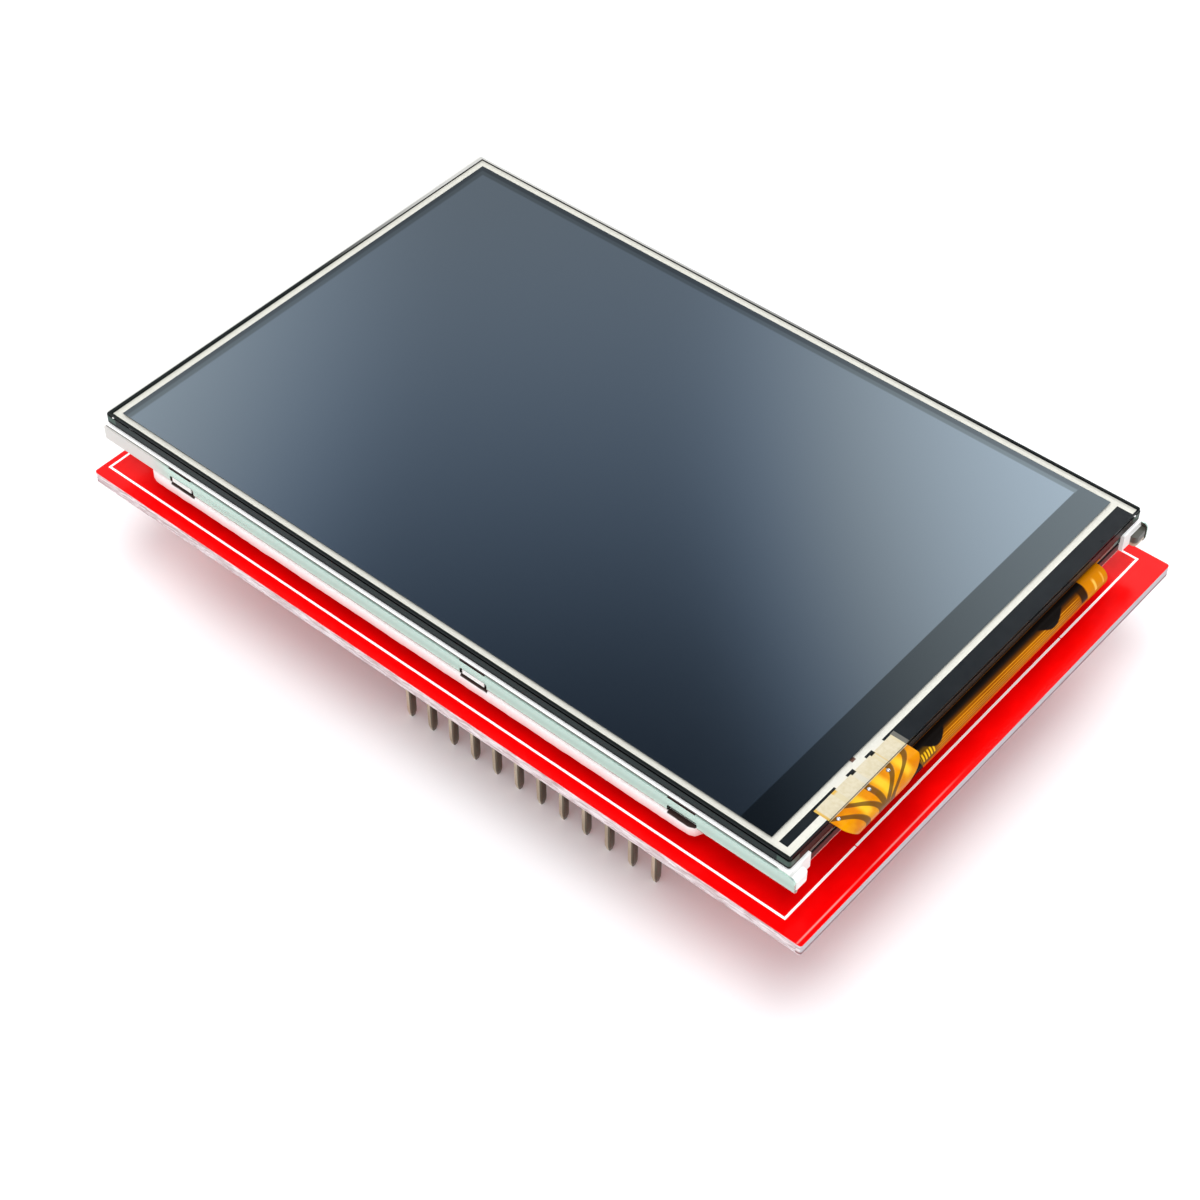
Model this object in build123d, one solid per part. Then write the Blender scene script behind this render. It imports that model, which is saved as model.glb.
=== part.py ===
from build123d import *

import os
from math import atan, ceil, degrees

# Display module on a plug-in board. Millimetres, +Z up, display facing up.
# Origin: under the middle of the board, on the plane of the pin tips. +X runs to the flex end.

# Circuit board
board_length = 80.95
board_width = 53.46
board_thickness = 1.2
board_corner_radius = 0.25

# Header rows under the long edges
pin_pitch = 2.54
pin_side = 0.64
pin_point_side = 0.3
pin_point_length = 0.7
pin_free_length = 6.0
pin_stub = 1.8
pin_hole_diameter = 1.0
front_row_edge_gap = 3.36
back_row_edge_gap = 1.84
header_end_gap = 17.0
front_pin_count = 12
back_short_count = 6
back_long_count = 8
back_group_gap = 4.06
strip_width = 2.4
strip_height = 2.54
strip_cell_chamfer = 0.45

# Solder joints on the upper ends of the pins
joint_foot_radius = 0.6
joint_neck_radius = 0.48
joint_height = 0.9
joint_sides = 8

# Foam that holds the display over the board
display_lift = 3.2
foam_strip_width = 3.0
foam_strip_length = 63.3
foam_strip_center_x = -2.75
foam_end_radius = 0.6
foam_pad_length = 14.0
foam_pad_width = 30.0
foam_pad_corner = 2.0
foam_pad_centers_x = (-23.0, 6.0)

# Touch panel
touch_center_x = -1.07
touch_length = 77.23
touch_width = 49.77
touch_corner_radius = 0.25
touch_film_thickness = 0.18
touch_film_inset = 0.05
touch_spacer_thickness = 0.1
touch_spacer_inset = 0.1
touch_glass_thickness = 0.9
window_side_margin = 0.985
window_left_margin = 1.255
window_tail_margin = 2.535
track_width = 0.7
track_thickness = 0.03
tail_track_width = 0.7
tail_track_margin = 0.3
touch_tape_thickness = 0.24
touch_tape_inset = 0.2
touch_tape_window_gap = 0.05

# Touch tail
tail_thickness = 0.1
tail_width = 10.15
tail_center_y = -14.775
tail_root_depth = 1.6
tail_reach = 1.8
tail_bend_radius = 1.0
tail_fold_radius = 0.35
tail_ramp_radius = 1.5
tail_loop_gap = 0.1
tail_drop = 1.33
tail_return = 4.145
tail_ramp_length = 2.4
tail_landing = 3.5
tail_left_taper = 1.65
tail_right_taper = 2.7
tail_neck_width = 3.4
tail_waist_drop = 1.5
tail_pad_count = 4
tail_pad_width = 2.0
tail_pad_thickness = 0.03

# Liquid crystal cell
glass_thickness = 0.4
polariser_thickness = 0.12
polariser_inset = 0.15
glass_clearance = 0.1
array_ledge = 1.6
chip_length = 18.0
chip_width = 0.6
chip_height = 0.26
chip_gap = 0.15

# Main flex
flex_thickness = 0.12
flex_width = 38.0
flex_bond_depth = 0.7
flex_reach = 1.35
flex_bend_radius = 1.0
flex_drop = 0.57
flex_fold_y0 = -10.0
flex_fold_y1 = 18.4
flex_edge_gap = 0.1
flex_shoulder_setback = 2.65
flex_neck_y0 = -9.5
flex_neck_y1 = 11.0
flex_return = 3.45
flex_ramp_length = 2.6
flex_ramp_radius = 1.5
flex_landing = 6.6

# Backlight
tray_sheet = 0.15
tray_bend_radius = 0.3
rail_height = 1.7
rail_overhang = 0.315
tray_end_overhang = 0.185
rail_end_reach = 0.825
rail_end_radius = 0.5
rail_flange = 0.45
notch_height = 0.85
notch_depth = 0.4
notch_corner_radius = 0.2
notch_centers_x = (-29.85, 5.15, 27.3)
notch_width = 3.0
notch_recess = 0.6
nub_count = 2
nub_side_gap = 0.3
nub_height = 0.5
frame_wall = 0.6
frame_ledge = 0.85
frame_crossbar = 0.9
post_thickness = 0.35
post_reach = 0.155
post_width = 2.75
leg_width = 1.7
leg_height = 1.1
leg_end_radius = 0.4
film_thickness = 0.06
film_clearance = 0.1
guide_thickness = 0.45
rim_tape_thickness = 0.05
rim_tape_overlap = 0.7
led_count = 6
led_length = 3.0
led_depth = 1.0
led_pitch = 6.8
led_gap = 0.05
led_flex_overlap = 1.2

# Memory card socket under the -X end
socket_length = 15.0
socket_width = 14.6
socket_height = 1.85
socket_edge_gap = 0.3
socket_sheet = 0.2
socket_base_thickness = 0.55
socket_back_wall = 1.6
socket_side_wall = 0.7
socket_window_length = 4.2
socket_window_width = 5.0
contact_count = 8
contact_pitch = 1.1
contact_width = 0.5
contact_sheet = 0.12
contact_reach = 6.5
contact_rise = 0.35

# Chips under the board
shifter_length = 6.5
shifter_width = 4.4
shifter_height = 0.95
shifter_standoff = 0.1
shifter_gap = 9.925
shifter_offset = 6.5
shifter_leads_per_side = 10
shifter_lead_pitch = 0.65
shifter_lead_width = 0.25
lead_sheet = 0.15
lead_reach = 1.0
lead_foot = 0.5
lead_exit_height = 0.5
regulator_length = 6.5
regulator_width = 3.5
regulator_height = 1.6
regulator_gap = 16.0
regulator_offset = 5.0
regulator_lead_pitch = 2.3
regulator_lead_width = 0.7
regulator_tab_width = 3.0
body_chamfer = 0.12

# Chip resistors and capacitors under the board
resistor_length = 1.6
resistor_width = 0.8
resistor_height = 0.45
resistor_end = 0.3
resistor_row_pitch = 2.0
resistor_row_count = 8
resistor_row_gap = 13.0
resistor_row_offset = 7.5
capacitor_length = 2.0
capacitor_width = 1.25
capacitor_height = 0.9
capacitor_end = 0.4
capacitor_steps = ((8.5, -8.0), (8.5, -2.0), (23.5, -7.5), (23.5, -2.5), (-7.5, 0.0), (32.0, 3.0))

# Levels, from the pin tips up
board_bottom = pin_free_length + strip_height
board_top = board_bottom + board_thickness
tray_bottom = board_top + display_lift
tray_floor = tray_bottom + tray_sheet
guide_bottom = tray_floor + film_thickness
diffuser_bottom = guide_bottom + guide_thickness
lower_prism_bottom = diffuser_bottom + film_thickness
upper_prism_bottom = lower_prism_bottom + film_thickness
rim_tape_bottom = upper_prism_bottom + film_thickness
rear_polariser_bottom = rim_tape_bottom + rim_tape_thickness
array_bottom = rear_polariser_bottom + polariser_thickness
array_top = array_bottom + glass_thickness
filter_top = array_top + glass_thickness
cell_top = filter_top + polariser_thickness
touch_bottom = cell_top + touch_tape_thickness
touch_glass_top = touch_bottom + touch_glass_thickness
touch_film_bottom = touch_glass_top + touch_spacer_thickness
touch_top = touch_film_bottom + touch_film_thickness

# Places along the display, worked inwards from the touch panel
touch_half = touch_width / 2
touch_x0 = touch_center_x - touch_length / 2
touch_x1 = touch_center_x + touch_length / 2
window_y = touch_half - window_side_margin
window_x0 = touch_x0 + window_left_margin
window_x1 = touch_x1 - window_tail_margin
tray_y = touch_half + rail_overhang
tray_x0 = touch_x0 - tray_end_overhang
rail_x1 = touch_x1 + rail_end_reach
frame_y = tray_y - tray_sheet
frame_x0 = tray_x0 + tray_sheet
pocket_y = frame_y - frame_wall
pocket_x0 = frame_x0 + frame_wall
ledge_y = pocket_y - frame_ledge
ledge_x0 = pocket_x0 + frame_ledge
post_face_x = touch_x1 + post_reach
post_x0 = post_face_x - post_thickness
crossbar_x0 = post_x0 - frame_crossbar
film_y = ledge_y - film_clearance
film_x0 = ledge_x0 + film_clearance
led_x1 = crossbar_x0 - film_clearance
led_x0 = led_x1 - led_depth
guide_x1 = led_x0 - led_gap
lcd_y = pocket_y - glass_clearance
lcd_x0 = pocket_x0 + glass_clearance
array_x1 = post_x0 - glass_clearance
filter_x1 = array_x1 - array_ledge
front_row_y = front_row_edge_gap - board_width / 2
back_row_y = board_width / 2 - back_row_edge_gap
header_end_x = board_length / 2 - header_end_gap
foam_y = tray_y - foam_strip_width / 2

# Places under the board, worked inwards from the card socket
socket_x0 = -board_length / 2 + socket_edge_gap
socket_x1 = socket_x0 + socket_length
shifter_x = socket_x1 + shifter_gap + shifter_length / 2
shifter_centers = ((shifter_x, -shifter_offset), (shifter_x, shifter_offset))
regulator_center = (shifter_x + regulator_gap, -regulator_offset)
capacitor_places = [(shifter_x + step, y) for step, y in capacitor_steps]


def slab(x0, x1, y0, y1, z0, z1):
    """A block between two corners."""
    return Pos((x0 + x1) / 2, (y0 + y1) / 2, (z0 + z1) / 2) * Box(x1 - x0, y1 - y0, z1 - z0)


def plate(x0, x1, half_width, z0, z1, corner_radius=0.0):
    """A flat plate centred on the X axis, with rounded corners if a radius is given."""
    body = slab(x0, x1, -half_width, half_width, z0, z1)
    if corner_radius > 0:
        body = fillet(body.edges().filter_by(Axis.Z), corner_radius)
    return body


def ring(outer, inner, z0, z1):
    """A flat frame between two rectangles, each given as (x0, x1, half width)."""
    skin = z1 - z0
    return plate(*outer, z0, z1) - plate(*inner, z0 - skin, z1 + skin)


def ribbon(points, radii, thickness, y0, y1):
    """A flat flex of even thickness along a path of (x, z) points with rounded turns."""
    path = FilletPolyline(*[(x, (y0 + y1) / 2, z) for x, z in points], radius=radii)
    start = Plane(origin=path @ 0, x_dir=(0, 1, 0), z_dir=path % 0)
    return sweep(start * Rectangle(y1 - y0, thickness), path=path)


def group(shapes):
    """Separate solids kept together in one node."""
    solids = [solid for shape in shapes for solid in shape.solids()]
    return Compound(children=solids)


# Pin places: one row along each long edge, both ending at the same x
front_pin_places = [(header_end_x - pin_pitch * i, front_row_y) for i in range(front_pin_count)]
back_short_places = [(header_end_x - pin_pitch * i, back_row_y) for i in range(back_short_count)]
back_long_end = back_short_places[-1][0] - back_group_gap
back_long_places = [(back_long_end - pin_pitch * i, back_row_y) for i in range(back_long_count)]
back_pin_places = back_short_places + back_long_places


def header_pin(x, y):
    """A square pin with a four-sided point at its lower end."""
    shank = slab(x - pin_side / 2, x + pin_side / 2, y - pin_side / 2, y + pin_side / 2,
                 pin_point_length, board_top + pin_stub)
    slope = degrees(atan((pin_side - pin_point_side) / 2 / pin_point_length))
    point = extrude(Rectangle(pin_side, pin_side), pin_point_length, taper=slope)
    return shank + Pos(x, y, pin_point_length) * Rot(180, 0, 0) * point


def header_strip(places):
    """A plastic strip of eight-sided cells, one for each pin, with a square hole through each."""
    cell_outline = chamfer(Rectangle(pin_pitch, strip_width).vertices(), strip_cell_chamfer)
    cell = extrude(cell_outline, strip_height)
    hole = Pos(0, 0, strip_height / 2) * Box(pin_side, pin_side, 2 * strip_height)
    bottom = board_bottom - strip_height
    cells = [Pos(x, y, bottom) * cell for x, y in places]
    holes = [Pos(x, y, bottom) * hole for x, y in places]
    return cells[0].fuse(*cells[1:]).cut(*holes)


def solder_joint(x, y):
    """An eight-sided cone of solder round a pin's upper end."""
    cone = loft([Pos(x, y, board_top) * RegularPolygon(joint_foot_radius, joint_sides),
                 Pos(x, y, board_top + joint_height) * RegularPolygon(joint_neck_radius, joint_sides)], ruled=True)
    pin_room = Pos(x, y, board_top + joint_height / 2) * Box(pin_side, pin_side, 2 * joint_height)
    return cone - pin_room


def circuit_board():
    """The board, drilled for every pin."""
    board = plate(-board_length / 2, board_length / 2, board_width / 2, board_bottom, board_top, board_corner_radius)
    drill = extrude(RegularPolygon(pin_hole_diameter / 2, joint_sides), 2 * board_thickness, both=True)
    return board.cut(*[Pos(x, y, board_top) * drill for x, y in front_pin_places + back_pin_places])


def foam_strip(side):
    """A strip of foam tape along a long edge, between the pin stubs and the tray."""
    half = foam_strip_length / 2
    strip = slab(foam_strip_center_x - half, foam_strip_center_x + half,
                 side * foam_y - foam_strip_width / 2, side * foam_y + foam_strip_width / 2,
                 board_top + pin_stub, tray_bottom)
    return fillet(strip.edges().filter_by(Axis.Z), foam_end_radius)


def foam_pad(center_x):
    """A thick foam pad in the middle of the board, under the tray."""
    return plate(center_x - foam_pad_length / 2, center_x + foam_pad_length / 2, foam_pad_width / 2,
                 board_top, tray_bottom, foam_pad_corner)


def backlight_tray():
    """Folded steel tray: floor, two long rails and an end wall, notched at the folds."""
    top = tray_bottom + rail_height
    outside = slab(tray_x0, rail_x1, -tray_y, tray_y, tray_bottom, top)
    low_edges = outside.edges().group_by(Axis.Z)[0]
    outside = fillet(low_edges.filter_by(Axis.X) + low_edges.filter_by(Axis.Y).sort_by(Axis.X)[:1], tray_bend_radius)
    inside = slab(frame_x0, rail_x1 + tray_sheet, -frame_y, frame_y, tray_floor, top + tray_sheet)
    low_edges = inside.edges().group_by(Axis.Z)[0]
    inner_radius = tray_bend_radius - tray_sheet
    inside = fillet(low_edges.filter_by(Axis.X) + low_edges.filter_by(Axis.Y).sort_by(Axis.X)[:1], inner_radius)
    tray = outside - inside
    mouth_y = tray_y - rail_flange
    tray -= slab(post_x0, rail_x1 + tray_sheet, -mouth_y, mouth_y, tray_bottom - tray_sheet, tray_floor + tray_sheet)
    rail_ends = tray.edges().filter_by(Axis.Y).group_by(Axis.X)[-1].group_by(Axis.Z)[-1]
    tray = fillet(rail_ends, rail_end_radius)
    cut = Box(notch_width, 2 * notch_depth, 2 * notch_height)
    cut = fillet(cut.edges().filter_by(Axis.Y).group_by(Axis.Z)[-1], notch_corner_radius)
    notches = [Pos(x, side * tray_y, tray_bottom) * cut for x in notch_centers_x for side in (-1, 1)]
    return tray.cut(*notches)


def backlight_frame():
    """White moulded frame: ledge for the films, wall round the glass, end posts and snap nubs."""
    frame = slab(frame_x0, post_face_x, -frame_y, frame_y, tray_floor, cell_top)
    inner_radius = tray_bend_radius - tray_sheet
    low_edges = frame.edges().group_by(Axis.Z)[0]
    frame = fillet(low_edges.filter_by(Axis.X) + low_edges.filter_by(Axis.Y).sort_by(Axis.X)[:1], inner_radius)
    frame -= slab(pocket_x0, post_x0, -pocket_y, pocket_y, rim_tape_bottom, touch_bottom)
    frame -= slab(ledge_x0, crossbar_x0, -ledge_y, ledge_y, tray_bottom, touch_bottom)
    gap_y = frame_y - post_width
    frame -= slab(post_x0, post_face_x + post_thickness, -gap_y, gap_y, tray_bottom, touch_bottom)
    for side in (-1, 1):
        leg_y0, leg_y1 = sorted((side * (frame_y - leg_width), side * frame_y))
        leg = slab(post_x0, rail_x1, leg_y0, leg_y1, tray_floor, tray_floor + leg_height)
        leg = fillet(leg.edges().filter_by(Axis.Z).group_by(Axis.X)[-1], leg_end_radius)
        low_fold = leg.edges().filter_by(Axis.X).group_by(Axis.Z)[0].sort_by(Axis.Y)[0 if side < 0 else -1]
        frame += fillet(low_fold, inner_radius)
        for x in notch_centers_x:
            y0, y1 = sorted((side * (frame_y - notch_recess), side * tray_y))
            frame -= slab(x - notch_width / 2, x + notch_width / 2, y0, y1, tray_bottom, tray_bottom + notch_height)
        for x in notch_centers_x[:nub_count]:
            half = notch_width / 2 - nub_side_gap
            nub_z0 = tray_floor + inner_radius
            frame += slab(x - half, x + half, y0, y1, nub_z0, nub_z0 + nub_height)
    return frame


def backlight_leds():
    """Side-firing lamps in a row, facing the light guide."""
    first_y = -led_pitch * (led_count - 1) / 2
    lamps = []
    for i in range(led_count):
        y = first_y + led_pitch * i
        lamps.append(slab(led_x0, led_x1, y - led_length / 2, y + led_length / 2, guide_bottom, diffuser_bottom))
    return group(lamps)


def led_flex():
    """The strip on the tray floor that carries the lamps."""
    half = led_pitch * (led_count - 1) / 2 + led_length
    return plate(guide_x1 - led_flex_overlap, led_x1, half, tray_floor, guide_bottom)


def main_flex():
    """The display's flex: bonded to the glass ledge, folded round the end and laid on the board."""
    bond_x = array_x1 - flex_bond_depth
    bend_x = array_x1 + flex_reach
    half_sheet = flex_thickness / 2
    top_z = array_top + half_sheet
    return_z = tray_bottom - flex_drop - half_sheet
    board_z = board_top + half_sheet
    ramp_x = array_x1 - flex_return
    land_x = ramp_x - flex_ramp_length
    end_x = land_x - flex_landing
    points = [(bond_x, top_z), (bend_x, top_z), (bend_x, return_z), (ramp_x, return_z),
              (land_x, board_z), (end_x, board_z)]
    radii = [flex_bend_radius, flex_bend_radius, flex_ramp_radius, flex_ramp_radius]
    flex = ribbon(points, radii, flex_thickness, -flex_width / 2, flex_width / 2)
    low, high = board_top - display_lift, tray_bottom
    shoulder_x = array_x1 - flex_shoulder_setback
    flex -= slab(end_x - flex_reach, shoulder_x, -flex_width, flex_neck_y0, low, high)
    flex -= slab(end_x - flex_reach, shoulder_x, flex_neck_y1, flex_width, low, high)
    for y0, y1 in ((-flex_width, flex_fold_y0), (flex_fold_y1, flex_width)):
        flex -= slab(end_x - flex_reach, bend_x + flex_reach, y0, y1, low, high)
        flex -= slab(array_x1 + flex_edge_gap, bend_x + flex_reach, y0, y1, low, cell_top)
    return flex


def tail_edges():
    """The touch tail's two edges in y."""
    return tail_center_y - tail_width / 2, tail_center_y + tail_width / 2


def tail_pads():
    """Bonding pads on the tail's root, under the film."""
    step = tail_width / tail_pad_count
    pads = []
    for i in range(tail_pad_count):
        y = tail_edges()[0] + step * (i + 0.5)
        pads.append(slab(touch_x1 - tail_root_depth, touch_x1 - touch_spacer_inset, y - tail_pad_width / 2,
                         y + tail_pad_width / 2, touch_film_bottom - tail_pad_thickness, touch_film_bottom))
    return group(pads)


def touch_tail(pads):
    """The touch panel's own flex: out of the spacer layer, down past the main flex and onto the board."""
    half_sheet = tail_thickness / 2
    top_z = touch_film_bottom - half_sheet
    bend_x = touch_x1 + tail_reach
    drop_x = bend_x - tail_bend_radius - tail_fold_radius - tail_loop_gap
    loop_z = top_z - 2 * tail_bend_radius - tail_loop_gap
    return_z = tray_bottom - tail_drop + half_sheet
    board_z = board_top + half_sheet
    ramp_x = touch_x1 - tail_return
    land_x = ramp_x - tail_ramp_length
    points = [(touch_x1 - tail_root_depth, top_z), (bend_x, top_z), (bend_x, loop_z), (drop_x, loop_z),
              (drop_x, return_z), (ramp_x, return_z), (land_x, board_z), (land_x - tail_landing, board_z)]
    radii = [tail_bend_radius] * 2 + [tail_fold_radius] * 2 + [tail_ramp_radius] * 2
    y0, y1 = tail_edges()
    tail = ribbon(points, radii, tail_thickness, y0, y1)
    waist_z = top_z - tail_waist_drop
    neck_y1 = y1 - tail_right_taper
    neck_y0 = neck_y1 - tail_neck_width
    far_y0, far_y1 = y0 - tail_width, y1 + tail_width
    left = Polyline((y0, top_z), (y0 + tail_left_taper, waist_z), (neck_y0, loop_z), (neck_y0, board_bottom),
                    (far_y0, board_bottom), (far_y0, top_z), close=True)
    right = Polyline((y1, top_z), (neck_y1, waist_z), (neck_y1, board_bottom),
                     (far_y1, board_bottom), (far_y1, top_z), close=True)
    for outline in (left, right):
        tail -= Pos(touch_x1, 0, 0) * extrude(Plane.YZ * make_face(outline), tail_reach + tail_bend_radius)
    for edge, far in ((neck_y0, far_y0), (neck_y1, far_y1)):
        low_y, high_y = sorted((edge, far))
        tail -= slab(land_x - 2 * tail_landing, touch_x1, low_y, high_y, board_bottom, loop_z)
    return tail.cut(*pads.solids())


def touch_tracks():
    """Silver conductors printed round the window, with a spur to the tail."""
    z0, z1 = touch_film_bottom - track_thickness, touch_film_bottom
    outer_y = window_y + track_width
    border = ring((window_x0 - track_width, window_x1 + track_width, outer_y), (window_x0, window_x1, window_y), z0, z1)
    spur_x1 = touch_x1 - tail_track_margin
    spur_x0 = spur_x1 - tail_track_width
    border += slab(window_x1 + track_width, spur_x1, -outer_y, -outer_y + tail_track_width, z0, z1)
    border += slab(spur_x0, spur_x1, -outer_y, tail_edges()[0], z0, z1)
    border += slab(window_x1 + track_width, spur_x1, window_y, outer_y, z0, z1)
    return border


def touch_spacer(tracks):
    """Black adhesive border between film and glass, with room for the tracks and the tail."""
    border = ring((touch_x0 + touch_spacer_inset, touch_x1 - touch_spacer_inset, touch_half - touch_spacer_inset),
                  (window_x0, window_x1, window_y), touch_glass_top, touch_film_bottom)
    border -= slab(touch_x1 - tail_root_depth, touch_x1, *tail_edges(), touch_glass_top, touch_film_bottom)
    return border - tracks


def touch_sheet(inset, z0, z1):
    """A rectangular layer of the touch panel."""
    return plate(touch_x0 + inset, touch_x1 - inset, touch_half - inset, z0, z1, touch_corner_radius)


def card_socket_base():
    """Socket moulding: a floor against the board, a back wall and two side walls."""
    half = socket_width / 2 - socket_sheet
    low = board_bottom - socket_height + socket_sheet
    floor = board_bottom - socket_base_thickness
    base = slab(socket_x0, socket_x1, -half, half, low, board_bottom)
    base -= slab(socket_x0 - socket_sheet, socket_x1 - socket_back_wall, -half + socket_side_wall,
                 half - socket_side_wall, low - socket_sheet, floor)
    return base


def card_socket_shell():
    """Folded steel cover of the socket, with a window over the springs."""
    half = socket_width / 2
    low = board_bottom - socket_height
    shell = slab(socket_x0, socket_x1, -half, half, low, board_bottom)
    shell -= slab(socket_x0 - socket_sheet, socket_x1 + socket_sheet, -half + socket_sheet, half - socket_sheet,
                  low + socket_sheet, board_bottom + socket_sheet)
    window_x = (socket_x0 + socket_x1) / 2
    shell -= slab(window_x - socket_window_length / 2, window_x + socket_window_length / 2,
                  -socket_window_width / 2, socket_window_width / 2, low - socket_sheet, low + 2 * socket_sheet)
    return shell


def card_socket_contacts():
    """Bent spring strips under the socket floor, held by the back wall's foot."""
    floor = board_bottom - socket_base_thickness
    root_x = socket_x1 - socket_back_wall
    bend = contact_reach / 4
    strip_line = Polyline((root_x, floor), (root_x - bend, floor), (root_x - 3 * bend, floor - contact_rise),
                          (root_x - contact_reach, floor - contact_rise / 2),
                          (root_x - contact_reach, floor - contact_rise / 2 - contact_sheet),
                          (root_x - 3 * bend, floor - contact_rise - contact_sheet),
                          (root_x - bend, floor - contact_sheet), (root_x, floor - contact_sheet), close=True)
    profile = Plane.XZ * make_face(strip_line)
    spring = extrude(profile, contact_width / 2, both=True)
    first_y = -contact_pitch * (contact_count - 1) / 2
    return group([Pos(0, first_y + contact_pitch * i, 0) * spring for i in range(contact_count)])


def moulded_body(center, length, width, height, standoff):
    """A chip package with bevelled edges, hanging under the board."""
    body = Pos(center[0], center[1], board_bottom - standoff - height / 2) * Box(length, width, height)
    return chamfer(body.edges().group_by(Axis.Z)[0], body_chamfer)


def gull_lead(exit_height, reach, foot, width):
    """A bent lead in the YZ plane: out of the package at y = 0, up to the board, foot at y = reach."""
    exit_z = board_bottom - exit_height
    step_y = reach - foot
    outline = Polyline((0, exit_z), (step_y, exit_z), (step_y, board_bottom - lead_sheet), (reach, board_bottom - lead_sheet),
                       (reach, board_bottom), (step_y - lead_sheet, board_bottom),
                       (step_y - lead_sheet, exit_z + lead_sheet), (0, exit_z + lead_sheet), close=True)
    return extrude(Plane.YZ * make_face(outline), width / 2, both=True)


def shifter_leads():
    """Leads along both long sides of each level shifter."""
    lead = gull_lead(lead_exit_height, lead_reach, lead_foot, shifter_lead_width)
    first_x = -shifter_lead_pitch * (shifter_leads_per_side - 1) / 2
    leads = []
    for center_x, center_y in shifter_centers:
        for i in range(shifter_leads_per_side):
            x = center_x + first_x + shifter_lead_pitch * i
            leads.append(Pos(x, center_y + shifter_width / 2, 0) * lead)
            leads.append(Pos(x, center_y - shifter_width / 2, 0) * Rot(0, 0, 180) * lead)
    return group(leads)


def regulator_leads():
    """Three leads on one side of the regulator and its broad tab on the other."""
    x, y = regulator_center
    lead = gull_lead(regulator_height / 2, lead_reach, lead_foot, regulator_lead_width)
    tab = gull_lead(regulator_height / 2, lead_reach, lead_foot, regulator_tab_width)
    leads = [Pos(x + regulator_lead_pitch * i, y - regulator_width / 2, 0) * Rot(0, 0, 180) * lead for i in (-1, 0, 1)]
    return group(leads + [Pos(x, y + regulator_width / 2, 0) * tab])


def chip_parts(places, length, width, height, end):
    """Bodies and end terminals of chip resistors or capacitors, lying along X under the board."""
    bodies = []
    terminals = []
    for x, y in places:
        z0, z1 = board_bottom - height, board_bottom
        inner = length / 2 - end
        bodies.append(slab(x - inner, x + inner, y - width / 2, y + width / 2, z0, z1))
        for side in (-1, 1):
            x0, x1 = sorted((x + side * inner, x + side * length / 2))
            terminals.append(slab(x0, x1, y - width / 2, y + width / 2, z0, z1))
    return group(bodies), group(terminals)


resistor_columns = ceil(resistor_row_count / 2)
resistor_places = [(shifter_x + resistor_row_gap + 2 * resistor_length * (i % resistor_columns),
                    resistor_row_offset + resistor_row_pitch * (i // resistor_columns))
                   for i in range(resistor_row_count)]

nodes = {}
nodes["circuit_board"] = circuit_board()
nodes["front_header_strip"] = header_strip(front_pin_places)
nodes["back_header_strip_short"] = header_strip(back_short_places)
nodes["back_header_strip_long"] = header_strip(back_long_places)
nodes["front_header_pins"] = group([header_pin(x, y) for x, y in front_pin_places])
nodes["back_header_pins"] = group([header_pin(x, y) for x, y in back_pin_places])
nodes["front_solder_joints"] = group([solder_joint(x, y) for x, y in front_pin_places])
nodes["back_solder_joints"] = group([solder_joint(x, y) for x, y in back_pin_places])
nodes["front_foam_strip"] = foam_strip(-1)
nodes["back_foam_strip"] = foam_strip(1)
nodes["foam_pad_left"] = foam_pad(foam_pad_centers_x[0])
nodes["foam_pad_right"] = foam_pad(foam_pad_centers_x[1])
nodes["backlight_tray"] = backlight_tray()
nodes["backlight_frame"] = backlight_frame()
nodes["reflector_film"] = plate(film_x0, guide_x1 - led_flex_overlap - film_clearance, film_y, tray_floor, guide_bottom)
nodes["led_flex"] = led_flex()
nodes["backlight_leds"] = backlight_leds()
nodes["light_guide"] = plate(film_x0, guide_x1, film_y, guide_bottom, diffuser_bottom)
nodes["diffuser_film"] = plate(film_x0, guide_x1, film_y, diffuser_bottom, lower_prism_bottom)
nodes["lower_prism_film"] = plate(film_x0, guide_x1, film_y, lower_prism_bottom, upper_prism_bottom)
nodes["upper_prism_film"] = plate(film_x0, guide_x1, film_y, upper_prism_bottom, rim_tape_bottom)
nodes["rim_tape"] = ring((lcd_x0, array_x1, lcd_y),
                         (ledge_x0 + rim_tape_overlap, guide_x1 - rim_tape_overlap, ledge_y - rim_tape_overlap),
                         rim_tape_bottom, rear_polariser_bottom)
nodes["rear_polariser"] = plate(lcd_x0 + polariser_inset, filter_x1 - polariser_inset, lcd_y - polariser_inset,
                                rear_polariser_bottom, array_bottom)
nodes["array_glass"] = plate(lcd_x0, array_x1, lcd_y, array_bottom, array_top)
nodes["filter_glass"] = plate(lcd_x0, filter_x1, lcd_y, array_top, filter_top)
nodes["front_polariser"] = plate(lcd_x0 + polariser_inset, filter_x1 - polariser_inset, lcd_y - polariser_inset,
                                 filter_top, cell_top)
nodes["driver_chip"] = plate(filter_x1 + chip_gap, filter_x1 + chip_gap + chip_width, chip_length / 2,
                             array_top, array_top + chip_height)
nodes["main_flex"] = main_flex()
nodes["touch_tape"] = ring((touch_x0 + touch_tape_inset, touch_x1 - touch_tape_inset, touch_half - touch_tape_inset),
                           (window_x0 - touch_tape_window_gap, window_x1 + touch_tape_window_gap,
                            window_y + touch_tape_window_gap), cell_top, touch_bottom)
nodes["touch_glass"] = touch_sheet(0.0, touch_bottom, touch_glass_top)
nodes["touch_tracks"] = touch_tracks()
nodes["touch_spacer"] = touch_spacer(nodes["touch_tracks"])
nodes["tail_pads"] = tail_pads()
nodes["touch_tail"] = touch_tail(nodes["tail_pads"])
nodes["touch_film"] = touch_sheet(touch_film_inset, touch_film_bottom, touch_top)
nodes["card_socket_base"] = card_socket_base()
nodes["card_socket_shell"] = card_socket_shell()
nodes["card_socket_contacts"] = card_socket_contacts()
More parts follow.
